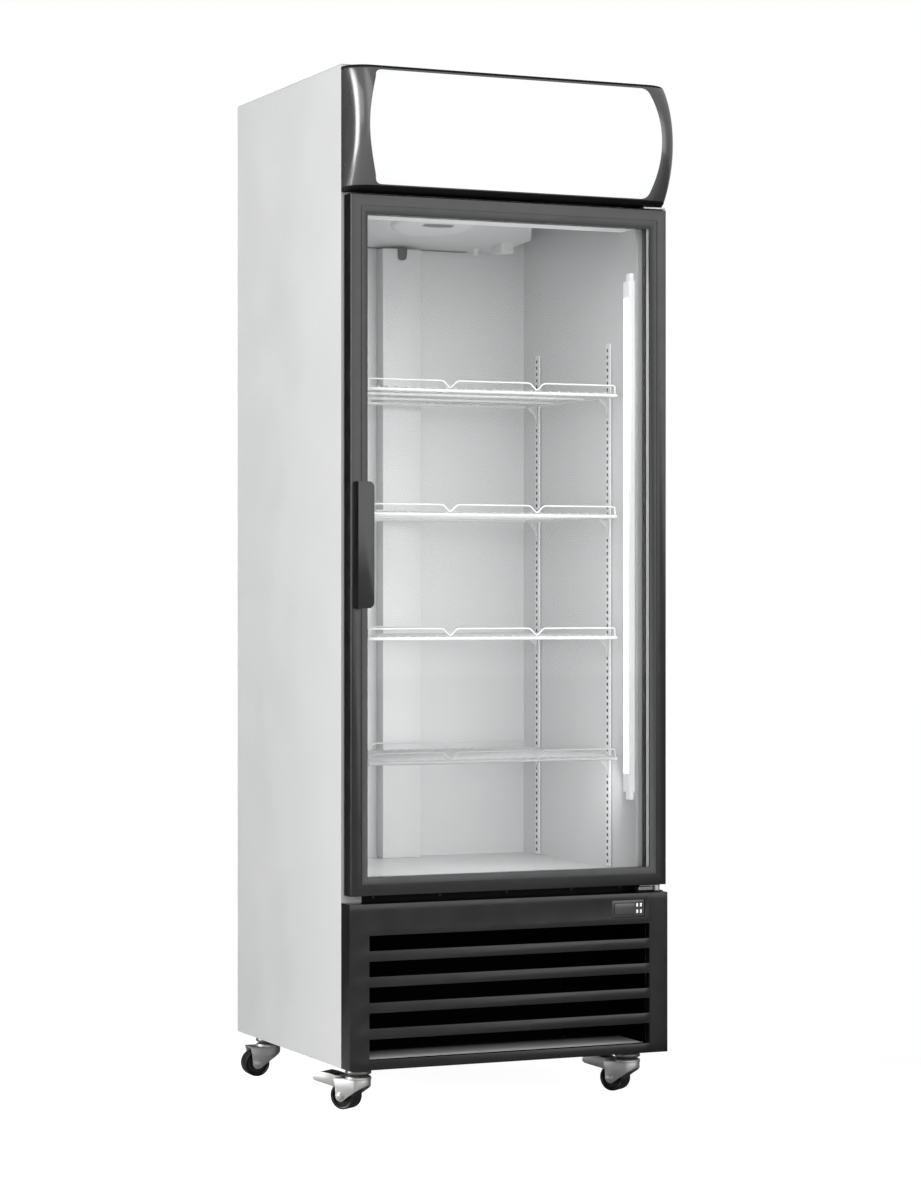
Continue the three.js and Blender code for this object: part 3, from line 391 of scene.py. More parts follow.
def arc(centre, radii, start, sweep, steps):
    """Points along an arc, with its angles in degrees."""
    turns = [math.radians(start) + math.radians(sweep) * k / steps for k in range(steps + 1)]
    return [(centre[0] + radii[0] * math.cos(t), centre[1] + radii[1] * math.sin(t)) for t in turns]


def rounded_path(points, r, steps, closed=False):
    """A polyline with its corners rounded to a radius."""
    points = [Vector(p) for p in points]
    count = len(points)
    path = []
    for i, corner in enumerate(points):
        if not closed and i in (0, count - 1):
            path.append(corner)
            continue
        before = points[i - 1] - corner
        after = points[(i + 1) % count] - corner
        reach = min(r, before.length * 0.49, after.length * 0.49)
        a = corner + before.normalized() * reach
        b = corner + after.normalized() * reach
        for k in range(steps + 1):
            t = k / steps
            path.append(a * (1 - t) ** 2 + corner * 2 * t * (1 - t) + b * t ** 2)
    return path


class Kit:
    """Gathers closed shapes, in millimetres of the part's frame, for one piece."""

    def __init__(self, matrix=None):
        self.verts = []
        self.faces = []
        self.matrix = matrix or Matrix.Identity(4)

    def add(self, verts, faces):
        base = len(self.verts)
        self.verts.extend(self.matrix @ Vector(v) for v in verts)
        self.faces.extend([i + base for i in face] for face in faces)
        return self

    def loops(self, outlines, closed=False):
        """A skin over outlines with equal numbers of points, capped at both ends unless it is closed."""
        count = len(outlines[0])
        faces = []
        last = len(outlines) if closed else len(outlines) - 1
        for s in range(last):
            upper = (s + 1) % len(outlines)
            for i in range(count):
                j = (i + 1) % count
                faces.append((s * count + i, s * count + j, upper * count + j, upper * count + i))
        if not closed:
            faces.append(tuple(reversed(range(count))))
            faces.append(tuple((len(outlines) - 1) * count + i for i in range(count)))
        return self.add([v for outline in outlines for v in outline], faces)

    def box(self, x0, x1, y0, y1, z0, z1):
        return self.loops([[(x0, y0, z), (x1, y0, z), (x1, y1, z), (x0, y1, z)] for z in (z0, z1)])

    def prism(self, axis, shape, a, b):
        """An outline in (X, Y), (X, Z) or (Y, Z), run along the axis that is left."""
        place = RUN_ALONG[axis]
        return self.loops([[place(u, v, w) for u, v in shape] for w in (a, b)])

    def tube(self, path, r, sides, closed=False):
        """A round bar along a path."""
        path = [Vector(p) for p in path]
        count = len(path)
        outlines = []
        side = None
        for i, here in enumerate(path):
            ahead = path[(i + 1) % count] if closed or i + 1 < count else here
            behind = path[i - 1] if closed or i else here
            along_path = (ahead - behind).normalized()
            if side is None:
                side = along_path.orthogonal().normalized()
            side = (side - along_path * side.dot(along_path)).normalized()
            other = along_path.cross(side)
            outlines.append([here + (side * math.cos(t) + other * math.sin(t)) * r
                             for t in (2 * math.pi * k / sides for k in range(sides))])
        return self.loops(outlines, closed)

    def lathe(self, profile, centre=ORIGIN, axis=UP, sides=48):
        """A closed profile of (radius, distance along the axis) turned about an axis."""
        axis = Vector(axis).normalized()
        side = axis.orthogonal().normalized()
        other = axis.cross(side)
        centre = Vector(centre)
        outlines = []
        for k in range(sides):
            t = 2 * math.pi * k / sides
            out = side * math.cos(t) + other * math.sin(t)
            outlines.append([centre + axis * h + out * max(r, 1e-4) for r, h in profile])
        return self.loops(outlines, closed=True)

    def sweep(self, profile, half, bottom, top, scale_top=1.0):
        """A profile of (distance inwards, Y) run round a rectangle in the XZ plane, mitred at its corners.
        The distances of its upper side are scaled where asked."""
        outlines = []
        for sx, sz in ((-1, -1), (1, -1), (1, 1), (-1, 1)):
            outlines.append([(sx * (half - d), y, (bottom + d) if sz < 0 else (top - d * scale_top))
                             for d, y in profile])
        return self.loops(outlines, closed=True)

    def grid(self, axis, us, vs, holes, a, b):
        """A plate with rectangular holes: solid in every cell of the grid that isn't in a hole."""
        us, vs = sorted(set(us)), sorted(set(vs))
        place = RUN_ALONG[axis]

        def filled(i, j):
            if not (0 <= i < len(us) - 1 and 0 <= j < len(vs) - 1):
                return False
            u, v = (us[i] + us[i + 1]) / 2, (vs[j] + vs[j + 1]) / 2
            return not any(h[0] < u < h[1] and h[2] < v < h[3] for h in holes)

        index, verts, faces = {}, [], []

        def at(i, j, w):
            key = (i, j, w)
            if key not in index:
                index[key] = len(verts)
                verts.append(place(us[i], vs[j], w))
            return index[key]

        for i in range(len(us) - 1):
            for j in range(len(vs) - 1):
                if not filled(i, j):
                    continue
                ring = [(i, j), (i + 1, j), (i + 1, j + 1), (i, j + 1)]
                faces.append([at(*c, a) for c in ring])
                faces.append([at(*c, b) for c in reversed(ring)])
                for k, (di, dj) in enumerate(((0, -1), (1, 0), (0, 1), (-1, 0))):
                    if not filled(i + di, j + dj):
                        p, q = ring[k], ring[(k + 1) % 4]
                        faces.append([at(*q, a), at(*p, a), at(*p, b), at(*q, b)])
        return self.add(verts, faces)

    def mesh(self, name):
        mesh = bpy.data.meshes.new(name)
        mesh.from_pydata([tuple(v * MM) for v in self.verts], [], self.faces)
        bm = bmesh.new()
        bm.from_mesh(mesh)
        bmesh.ops.remove_doubles(bm, verts=bm.verts, dist=2e-6)
        bmesh.ops.recalc_face_normals(bm, faces=bm.faces)
        bm.to_mesh(mesh)
        bm.free()
        return mesh


def smooth_by_angle(piece, degrees=32):
    for polygon in piece.data.polygons:
        polygon.use_smooth = True
    split = piece.modifiers.new("sharp", "EDGE_SPLIT")
    split.split_angle = math.radians(degrees)


def round_edges(piece, width, segments=3, angle=30):
    edges = piece.modifiers.new("edges", "BEVEL")
    edges.width = width * MM
    edges.segments = segments
    edges.limit_method = "ANGLE"
    edges.angle_limit = math.radians(angle)


def build(name, shape, material, body, replaces=(), bevel=0.0, segments=3, angle=30, smooth=32):
    """Makes a piece from a kit or a mesh, and rides it on its body."""
    mesh = shape.mesh(name) if isinstance(shape, Kit) else shape
    piece = bpy.data.objects.new(name, mesh)
    bpy.context.scene.collection.objects.link(piece)
    mesh.materials.clear()
    mesh.materials.append(material)
    if bevel:
        round_edges(piece, bevel, segments, angle)
    smooth_by_angle(piece, smooth)
    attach(piece, body)
    if replaces:
        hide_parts(*replaces)


def cut(base, tool, operation="DIFFERENCE"):
    """One kit or mesh less another, or joined with it, or kept inside it."""
    made = []
    for shape in (base, tool):
        mesh = shape.mesh("working") if isinstance(shape, Kit) else shape
        thing = bpy.data.objects.new("working", mesh)
        bpy.context.scene.collection.objects.link(thing)
        made.append(thing)
    step = made[0].modifiers.new("cut", "BOOLEAN")
    step.operation = operation
    step.solver = "EXACT"
    step.object = made[1]
    bpy.context.view_layer.update()
    result = bpy.data.meshes.new_from_object(made[0].evaluated_get(bpy.context.evaluated_depsgraph_get()))
    for thing in made:
        bpy.data.objects.remove(thing)
    return result


# ------------------------------------------------------------------ header

housing_lo, housing_hi = box_mm("header_housing")
HEADER_BOTTOM, HEADER_TOP = housing_lo.z, housing_hi.z
HEADER_REACH = FRONT_MM - sign_lo.y / MM  # at mid height
HEADER_EDGE_REACH = 53  # at the top and the bottom
HEADER_CORNER = 42
HEADER_LIP = 9
HEADER_WALL = 3
SIGN_MARGIN = 10
SIGN_CORNER = 14
SIGN_ENDS = ((273, 12, 1), (-283, 20.5, -1))  # X of its corners, bow and side


def header_reach(z, inset):
    """How far the header's face stands in front of the cabinet at a height."""
    middle = (HEADER_TOP + HEADER_BOTTOM) / 2
    half = (HEADER_TOP - HEADER_BOTTOM) / 2
    bow = HEADER_REACH - HEADER_EDGE_REACH
    radius = (half ** 2 + bow ** 2) / (2 * bow)
    rise = abs(z - middle)
    past = min(HEADER_LIP, max(0, rise - (half - inset - HEADER_LIP)))
    lip = HEADER_LIP - math.sqrt(HEADER_LIP ** 2 - past ** 2)
    return HEADER_REACH - radius + math.sqrt(radius ** 2 - rise ** 2) - inset - lip


def header_solid(inset, rear):
    """The bowed body of the header, less an inset all round."""
    lip_steps, face_steps, corner_steps = 8, 26, 14
    bottom, top = HEADER_BOTTOM + inset, HEADER_TOP - inset
    rises = [HEADER_LIP * (1 - math.cos(math.pi / 2 * k / lip_steps)) for k in range(lip_steps + 1)]
    heights = sorted(bottom + rise for rise in rises)
    span = top - bottom - 2 * HEADER_LIP
    heights += [bottom + HEADER_LIP + span * k / face_steps for k in range(1, face_steps)]
    heights += sorted(top - rise for rise in rises)
    half, r = HALF_MM - inset, HEADER_CORNER - inset
    outlines = []
    for z in heights:
        face = FRONT_MM - header_reach(z, inset)
        left = arc((-half + r, face + r), (r, r), 180, 90, corner_steps)
        plan = [(-half, rear), *left, *[(-x, y) for x, y in reversed(left)], (half, rear)]
        outlines.append([(x, y, z) for x, y in plan])
    return Kit().loops(outlines)


def sign_outline(shrink):
    """Straight above and below, and bowed at both ends."""
    z0, z1 = HEADER_BOTTOM + SIGN_MARGIN + shrink, HEADER_TOP - SIGN_MARGIN - shrink
    middle = (z0 + z1) / 2
    outline = []

    def bend(p, q, r, steps):
        for k in range(steps):
            t = k / steps
            outline.append(tuple(p[n] * (1 - t) ** 2 + 2 * q[n] * t * (1 - t) + r[n] * t * t for n in (0, 1)))

    for corner_x, bow, side in SIGN_ENDS:
        end = corner_x - side * shrink
        low, high = (z0, z1) if side > 0 else (z1, z0)
        turn = SIGN_CORNER * side
        start, stop = (end + 2 * side, low + turn), (end + 2 * side, high - turn)
        bend((end - turn, low), (end, low), start, 8)
        bend(start, (end + 2 * bow * side, middle), stop, 30)
        bend(stop, (end, high), (end - turn, high), 8)
        outline.append((end - turn, high))
    return outline


def add_header():
    ahead = FRONT_MM - HEADER_REACH - 5
    behind = FRONT_MM - 34
    shell = cut(header_solid(0, SEAT), header_solid(HEADER_WALL, SEAT + 5))
    shell = cut(shell, Kit().prism("y", sign_outline(0), ahead, behind))
    build("header_shell", shell, HEADER, "cabinet", ["header_housing"], bevel=0.7, segments=2,
          angle=50)
    # Painted shade: matt black strips over the header's lower and upper lips darken them
    skin = cut(header_solid(-0.2, SEAT), header_solid(2, SEAT + 5))
    for name, low, high in (("under", HEADER_BOTTOM - 2, HEADER_BOTTOM + 8),
                            ("upper", HEADER_TOP - 6, HEADER_TOP + 2)):
        slab = Kit().box(-HALF_MM - 5, HALF_MM + 5, ahead, FRONT_MM - 2, low, high)
        build(f"header_{name}_trim", cut(skin.copy(), slab, "INTERSECT"), SILL, "cabinet",
              smooth=40)
    panel = cut(header_solid(0.5, SEAT), header_solid(HEADER_WALL, SEAT + 5))
    panel = cut(panel, Kit().prism("y", sign_outline(0.3), ahead, behind), "INTERSECT")
    build("header_sign_panel", panel, SIGN, "cabinet", ["header_sign"], smooth=40)


# ------------------------------------------------------------------ door

def add_door():
    lo, hi = box_mm("door_frame")
    face, rear = lo.y, hi.y
    stile, top_rail = 34.1, 36.5
    glass_face = face + 4.3
    rebate = glass_face - 0.3
    rear_lip = glass_face + 20.3
    profile = [
        (0, rear - 0.6), (0, face + 2.2), (0.65, face + 0.65), (2.2, face), (19.2, face), (19.45, face + 1.3),
        (20.55, face + 1.3), (20.8, face), (21.4, face), (32.6, face + 3.0), (stile - 0.3, face + 3.2),
        (stile, face + 3.5), (stile, rebate), (19.3, rebate), (19.3, rear_lip), (32.6, rear_lip),
        (32.6, rear), (0.6, rear),
    ]
    build("door_frame_profile", Kit().sweep(profile, hi.x, lo.z, hi.z, top_rail / stile), BLACK, "door",
          ["door_frame"], smooth=24)

    lo, hi = box_mm("glass_spacer")
    y0, y1, width = lo.y, hi.y, 10
    bar = [(0, y0), (0, y1), (width, y1), (width, y1 - 3.2), (9.2, y1 - 3.8), (9.2, y0 + 3.8),
           (width, y0 + 3.2), (width, y0)]
    build("glass_spacer_bar", Kit().sweep(bar, hi.x, lo.z, hi.z), ALUMINIUM, "door",
          ["glass_spacer"])

    lo, hi = box_mm("door_gasket")
    y0, y1 = lo.y, hi.y
    deep = y1 - y0
    bellows = [(2, y0), (0.4, y0 + deep * 0.2), (2.6, y0 + deep * 0.4), (0.4, y0 + deep * 0.62),
               (1.6, y1 - 0.6), (3, y1), (17, y1), (18.6, y1 - 0.6), (19.8, y0 + deep * 0.62),
               (17.4, y0 + deep * 0.4), (19.6, y0 + deep * 0.2), (18, y0)]
    build("door_gasket_bellows", Kit().sweep(bellows, hi.x, lo.z, hi.z), GASKET, "door",
          ["door_gasket"], bevel=0.5, segments=2)


# ------------------------------------------------------------------ shelves, standards and clips

SHELVES = ("shelf_1", "shelf_2", "shelf_3", "shelf_4")
RAIL_TOPS = [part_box(node)[1].z / MM for node in SHELVES]
RAIL_RISE = 14.5  # from the wires to the top of a rail
WIRE_COUNT = 27
WALL_X = 279.7
SLOT_PITCH = 12.7
SLOT_HEIGHT = 6.6


def shelf_wirework(top):
    """A white wire shelf: bars across, fine wires from front to back, and a notched rail at both ends."""
    half, y0, y1 = 263, FRONT_MM + 38, FRONT_MM + 455
    wire_top = top - RAIL_RISE
    bar, brace, wire, rail = 3.1, 2.5, 1.3, 1.55
    frame_z = wire_top - 2.4 - bar
    kit = Kit()
    ring = [(-half + bar, y0 + bar, frame_z), (half - bar, y0 + bar, frame_z),
            (half - bar, y1 - bar, frame_z), (-half + bar, y1 - bar, frame_z)]
    kit.tube(rounded_path(ring, 6, 4, closed=True), bar, 12, closed=True)
    for y in (y0 + (y1 - y0) * 0.34, y0 + (y1 - y0) * 0.67):
        kit.tube([(-half + bar, y, frame_z + 0.6), (half - bar, y, frame_z + 0.6)], brace, 10)
    for i in range(WIRE_COUNT):
        x = -half + 9 + (2 * half - 18) * i / (WIRE_COUNT - 1)
        kit.tube([(x, y0 + 0.8, wire_top - wire), (x, y1 - 0.8, wire_top - wire)], wire, 8)
    rail_half, notch_x, notch_reach = 256 - rail, 89.5, 14.5
    up, low = top - rail, frame_z + bar
    for y in (y0 + rail, y1 - rail):
        line = [(-rail_half, y, low - 2), (-rail_half, y, up)]
        for x in (-notch_x, notch_x):
            line += [(x - notch_reach, y, up), (x, y, low + 1.2), (x + notch_reach, y, up)]
        line += [(rail_half, y, up), (rail_half, y, low - 2)]
        kit.tube(rounded_path(line, 4.5, 4), rail, 10)
    return kit


def add_shelves():
    for number, (node, top) in enumerate(zip(SHELVES, RAIL_TOPS), 1):
        build(f"shelf_wirework_{number}", shelf_wirework(top), WIRE, node, [node], smooth=50)


def add_standard(place, hand, side):
    """A slotted strip on a side wall, with a raised rib beside the slots and a clip under each shelf."""
    node = f"standard_{place}_{hand}"
    lo, hi = box_mm(node)
    middle = (lo.y + hi.y) / 2

    def off_wall(proud):
        return side * WALL_X - side * proud

    holes = []
    z = lo.z + 6
    while z + SLOT_HEIGHT < hi.z:
        holes.append((middle + 1.4, middle + 8.0, z, z + SLOT_HEIGHT))
        z += SLOT_PITCH
    ys = [middle - 11, middle + 11] + [v for hole in holes for v in hole[:2]]
    zs = [lo.z, hi.z] + [v for hole in holes for v in hole[2:]]
    strip = Kit().grid("x", ys, zs, holes, *sorted((off_wall(1.3), off_wall(2.4))))
    rib = [(1.4, -10.6), (3.3, -10.2), (4.0, -9.2), (4.0, -4.0), (3.3, -3.0), (1.4, -2.6)]
    strip.prism("z", [(off_wall(proud), middle + y) for proud, y in rib], lo.z, hi.z)
    build(f"standard_strip_{place}_{hand}", strip, STANDARD, "cabinet", [node], smooth=25)

    recess = Kit()
    for near, far, low, high in holes:
        recess.box(*sorted((off_wall(0.9), off_wall(2.3))), near + 0.3, far - 0.3, low + 0.3, high - 0.3)
    build(f"standard_recess_{place}_{hand}", recess, SLOT_DARK, "cabinet")

    clips = Kit()
    gusset = [(3.0, 0), (24, 0), (24, -3), (17, -9), (10, -17), (6.5, -27), (3.0, -38)]
    for rail_top in RAIL_TOPS:
        top = rail_top - RAIL_RISE - 7 - 0.4
        clips.prism("y", [(off_wall(proud), top + z) for proud, z in gusset], middle - 1.5, middle + 1.5)
        clips.box(*sorted((off_wall(3.0), off_wall(24))), middle - 4, middle + 4, top - 1.2, top - 0.2)
    build(f"shelf_clips_{place}_{hand}", clips, CLIP, "cabinet", bevel=0.35, segments=2)


# ------------------------------------------------------------------ inside the cabinet

def add_interior_lamp():
    lo, hi = box_mm("interior_lamp")
    x0, x1, y0, y1 = lo.x, hi.x, lo.y, hi.y
    body_z, lens_z = (574, 1550), (610, 1517)
    body = [(x1, y0), (x1, y1), (x0 + 3.5, y1), (x0 + 1.2, y1 - 1.2), (x0 + 1.2, y0 + 2.0), (x0 + 3.0, y0)]
    build("lamp_housing", Kit().prism("z", body, *body_z), LAMP_BODY_GLOW, "cabinet",
          ["interior_lamp"], bevel=0.5)
    bulge = [(x0 + 1.6 - 1.5 * math.sin(math.pi * k / 10), y0 + 2.6 + (y1 - y0 - 4.4) * k / 10)
             for k in range(11)]
    lens = Kit().prism("z", [(x0 + 2.2, y0 + 2.6), *bulge, (x0 + 2.2, y1 - 1.8)], *lens_z)
    build("lamp_lens", lens, LAMP, "cabinet", smooth=40)
    ends = Kit()
    cap = [(x1 - 0.2, y0 + 1), (x1 - 0.2, y1 - 1), (x0 + 2.6, y1 - 1.6), (x0 + 0.5, y1 - 4),
           (x0 + 0.5, y0 + 4), (x0 + 2.4, y0 + 1.4)]
    plug = [(x1 - 0.2, y0 + 4), (x1 - 0.2, y1 - 4), (x1 - 7, y1 - 6), (x1 - 7, y0 + 6)]
    for cap_z, plug_z in (((574, 608), (559, 574)), ((1519, 1550), (1550, 1565))):
        ends.prism("z", cap, *cap_z)
        ends.prism("z", plug, *plug_z)
    build("lamp_ends", ends, LAMP_BODY_GLOW, "cabinet", bevel=1.2)


def add_evaporator_cover():
    """The cover slopes down to the back and narrows in front of its rear corners, as the photo shows it."""
    half, y0, y1 = 248, FRONT_MM + 62, FRONT_MM + 500
    front_z, rear_z, top_z = 1700, 1649, 1775
    shoulder = FRONT_MM + 400
    chamfer = 34
    low = rear_z - 2
    bend_z = low + chamfer * 0.7
    tilt = math.atan2(rear_z - front_z, y1 - y0)
    side = Kit().prism("x", [(y0, front_z), (y1, rear_z), (y1, top_z), (y0, top_z)], -half, half)
    ends = Kit().prism("y", [(-half + chamfer, low - 2), (half - chamfer, low - 2), (half, bend_z),
                             (half, top_z + 5), (-half, top_z + 5), (-half, bend_z)], y0 - 5, y1 + 5)
    taper = [(-91, y0 - 5), (91, y0 - 5), (243, shoulder - 8), (half + 1, shoulder), (half + 1, y1 + 5),
             (-half - 1, y1 + 5), (-half - 1, shoulder), (-243, shoulder - 8)]
    form = cut(cut(side, ends, "INTERSECT"), Kit().prism("z", taper, low - 10, top_z + 10), "INTERSECT")
    build("evaporator_cover_shell", form, LINER_COVER, "cabinet", ["evaporator_cover"],
          bevel=7, segments=4, angle=20)

    dish_x, dish_y, dish_r, drop = -21, FRONT_MM + 280, 82, 9
    dish_z = front_z + math.tan(tilt) * (dish_y - y0)
    across = Matrix.Translation((dish_x, dish_y, dish_z)) @ Matrix.Rotation(tilt, 4, "X")
    bowl = Kit(across).lathe([(0, -drop), (dish_r * 0.8, -drop), (dish_r * 0.93, -drop * 0.86),
                              (dish_r * 0.98, -drop * 0.55), (dish_r, 0), (dish_r + 1, 3), (0, 3)], sides=64)
    # Painted shade: near-black bars through the dome's bottom stand in for the dark behind the guard's slots
    slots = Kit(across)
    guard_x, guard_y, guard_r, pitch, slot_half = 1, -22, 14, 7, 1.75
    for i in range(-4, 5):
        reach = guard_r * math.sqrt(1 - (i / 5) ** 2)
        x = guard_x + i * pitch
        slots.box(x - slot_half, x + slot_half, guard_y - reach, guard_y + reach, -drop - 0.5, -drop + 2)
    # The dome's lighter white is painted light
    build("fan_dome", bowl, DISH_LIT, "cabinet", smooth=40)
    build("fan_dome_slot_shade", slots, SHADE_BLACK, "cabinet")

    drain = Kit().box(181, 208, FRONT_MM + 400, FRONT_MM + 445, 1639, 1668)
    build("drain_cup", drain, LINER_COVER, "cabinet", bevel=1.6, segments=3)
    # Painted shadow: a dark strip under the cover's rear edge
    shadow_strip = Kit().box(-240, 147, FRONT_MM + 498, FRONT_MM + 500.6, 1646.6, 1648.8)
    build("cover_shadow_strip", shadow_strip, GASKET, "cabinet")
    rim = Kit(across).lathe([(dish_r - 1.2, -1), (dish_r + 1.6, -1), (dish_r + 1.6, 2), (dish_r - 1.2, 2)],
                            sides=64)
    build("fan_dome_rim", rim, CLIP, "cabinet", smooth=40)
    tab = Kit().box(148, 158, FRONT_MM + 462, FRONT_MM + 470, 1638, 1656)
    build("drain_bracket", tab, LINER_COVER, "cabinet", bevel=1, segments=2)
    # The trim's whiter, glowing surface is a painted highlight
    shade_strip = Kit().box(-279.3, 279.3, FRONT_MM + 1, FRONT_MM + 60, 1648, 1657.5)
    build("mouth_trim", shade_strip, MOUTH_HIGHLIGHT, "cabinet", bevel=1.5, segments=2)

    probe_x, probe_z, probe_r, probe_top = -6.3, 1631, 9, 1647
    shape = arc((probe_x, probe_z), (probe_r, probe_r), 180, 180, 14)
    shape += [(probe_x + probe_r, probe_top), (probe_x - probe_r, probe_top)]
    duct_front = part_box("rear_air_duct")[0].y / MM
    build("probe_cover", Kit().prism("y", shape, duct_front - 7, duct_front + 1), PROBE, "cabinet",
          bevel=1.4)


# ------------------------------------------------------------------ lower front

def add_grille():
    lo, hi = box_mm("lower_grille")
    face, half = lo.y, hi.x
    slot_half, slot_low, slot_high, pitch, fold = 286.5, 300.1, 328.3, 47.2, 2.5
    holes = [(-slot_half, slot_half, slot_low - i * pitch, slot_high - i * pitch) for i in range(4)]
    holes.append((-slot_half, slot_half, 101.2, 138.9))
    holes.append((208, 276.5, 341, 374))
    xs = [-half, half] + [v for hole in holes for v in hole[:2]]
    zs = [lo.z, hi.z] + [v for hole in holes for v in hole[2:]]
    plate = Kit().grid("y", xs, zs, holes, face, face + 14)
    inner = (-half + fold, half - fold, lo.z + fold, hi.z - fold)
    skirt = Kit().grid("y", [-half, *inner[:2], half], [lo.z, *inner[2:], hi.z], [inner], face + 3, SEAT)
    seam = Kit().box(287.2, 288.1, face - 1, face + 0.9, lo.z - 1, hi.z + 1)
    build("grille_panel", cut(cut(plate, skirt, "UNION"), seam), GRILLE, "cabinet",
          ["lower_grille"], bevel=0.9, segments=3, angle=50)
    # Painted shade: near-black sheets along the deck's sides darken its inside
    shade_sheets = Kit()
    for side in (-1, 1):
        shade_sheets.box(*sorted((side * 283.2, side * 284.7)), face + 13.8, FRONT_MM + 110, 100.2, 378)
    build("deck_shade_sheets", shade_sheets, SHADE_BLACK, "cabinet")
    sheet = Kit().box(-282.9, 282.9, FRONT_MM - 29, FRONT_MM + 111, 99.5, 100.1)
    build("deck_sheet", sheet, DECK_SHEET, "cabinet")


def add_controller():
    """The display's window, and a cap on each key."""
    face = FRONT_MM - 43.3
    x0, x1, z0, z1 = 213, 254.5, 347, 368
    window = Kit().loops([[(x0 + e, y, z0 + e), (x1 - e, y, z0 + e), (x1 - e, y, z1 - e), (x0 + e, y, z1 - e)]
                          for e, y in ((0, face + 4), (0, face + 0.6), (0.8, face - 0.2))])
    build("controller_display", window, DISPLAY, "cabinet", bevel=0.3)
    half_x, half_z = 1.6, 3.3
    for node in sorted(name for name in nodes if name.startswith("key_")):
        lo, hi = box_mm(node)
        x, z = (lo.x + hi.x) / 2 - 0.6, (lo.z + hi.z) / 2 + 0.8
        cap = Kit().box(x - half_x, x + half_x, lo.y, hi.y, z - half_z, z + half_z)
        build(f"{node}_cap", cap, KEY_GLOW, node, [node], bevel=0.5, segments=3)


def add_bottom_hinge():
    """A folded strip and a bush under the door, on a dark plate that is bolted to the sill."""
    pin_x, pin_y = 312, FRONT_MM - 26
    plate = Kit().box(262, 318, pin_y - 12, SEAT, 387.5, 389.4)
    plate.lathe([(0, 387.6), (4, 387.6), (4, 411), (0, 411)], (pin_x, pin_y, 0), sides=24)
    build("hinge_plate", plate, SILL, "cabinet", ["bottom_hinge_bracket"], bevel=0.3,
          segments=2)
    strip = Kit()
    for z0, z1, nose in ((391.2, 393.5, 0), (393.5, 394.4, 1.5), (394.4, 396.7, 0)):
        strip.box(266, 296, pin_y - 12 + nose, pin_y + 4, z0, z1)
    strip.box(272, 302, pin_y - 6, SEAT, 397.9, 399.5)
    # The strip's darker zinc is painted shade
    build("hinge_strip", strip, SHADED_ZINC, "cabinet", smooth=30)
    bush = Kit().lathe([(0, 389.4), (7.3, 389.4), (7.3, 391.6), (6.8, 392), (6.8, 395.6), (7.3, 396),
                        (7.3, 399.4), (0, 399.4)], (307.6, pin_y - 3, 0), sides=32)
    build("hinge_bush", bush, ZINC, "cabinet", smooth=30)


def screw(kit, centre, axis, r, height):
    """A pan-head screw, without its recess."""
    kit.lathe([(0, -1), (r, -1), (r, height * 0.3), (r * 0.82, height * 0.75), (r * 0.45, height),
               (0, height)], centre, axis, 20)


def add_screws():
    sill = Kit()
    for x in (-262, -128, 8, 142, 246):
        screw(sill, (x, FRONT_MM - 0.4, 394), (0, -1, 0), 2.8, 1.6)
    build("sill_screws", sill, MACHINE, "cabinet")
    places = [(x, z) for z in (400, 780, 1150, 1520, 1895) for x in (-312, 312)]
    places += [(x, z) for x in (-160, 0, 160) for z in (1895, 356)]
    back = Kit()
    for x, z in places:
        screw(back, (x, BACK_MM - 1.6, z), (0, 1, 0), 3.4, 1.5)
    build("back_screws", back, ZINC, "cabinet")


# ------------------------------------------------------------------ casters

# X, distance behind the front, heading of the trail in degrees, and whether it has a brake
CASTERS = {"front_left": (-278, 32.5, 123.5, True), "front_right": (278, 32.5, 123.5, True),
           "rear_left": (-278, 509, 177, False), "rear_right": (278, 509, 150, False)}
TRAIL = 27
WHEEL_R = 25.4
LEG_IN, LEG_OUT = 18, 20.2


def caster_fork(turn):
    """Two legs, a curved back between them, a crown with its race, and the axle's nuts."""
    def skirt(u):
        return 47 - 0.64 * (u + 24)

    fork = Kit(turn)
    back_u, leg_top = -3, 58.4
    front_u = TRAIL + 15
    lobe = arc((TRAIL, WHEEL_R), (10.5, 10.5), 222, 150, 16)
    leg = [(back_u, leg_top), (back_u, skirt(back_u)), *lobe, (TRAIL + 12, 44), (front_u, leg_top)]
    for a, b in ((-LEG_OUT, -LEG_IN), (LEG_IN, LEG_OUT)):
        fork.prism("y", leg, a, b)
    fork.loops([[(*outer, skirt(outer[0])), (*outer, leg_top), (*inner, leg_top), (*inner, skirt(inner[0]))]
                for outer, inner in zip(arc((back_u, 0), (21, LEG_OUT), 90, 180, 20),
                                        arc((back_u, 0), (18.8, LEG_IN), 90, 180, 20))])
    crown = arc((back_u, 0), (20, LEG_OUT), 90, 180, 20)
    fork.prism("z", [*crown, (front_u, -LEG_OUT), (front_u, LEG_OUT)], 56, 58.5)
    fork.lathe([(0, 57), (24.3, 57), (24.3, 60.4), (23.4, 62.2), (20.5, 63.6), (14, 64.4), (12, 65.6),
                (0, 65.6)])
    corners = [math.pi / 3 * k + 0.3 for k in range(6)]
    nut = [(TRAIL + 5.6 * math.cos(t), WHEEL_R + 5.6 * math.sin(t)) for t in corners]
    for s in (-1, 1):
        fork.prism("y", nut, *sorted((s * LEG_OUT, s * (LEG_OUT + 3.4))))
        fork.lathe([(0, 0), (7.6, 0), (7.6, 0.7), (7.2, 1.0), (0, 1.0)], (TRAIL, s * LEG_OUT, WHEEL_R),
                   (0, s, 0), 32)
    return fork


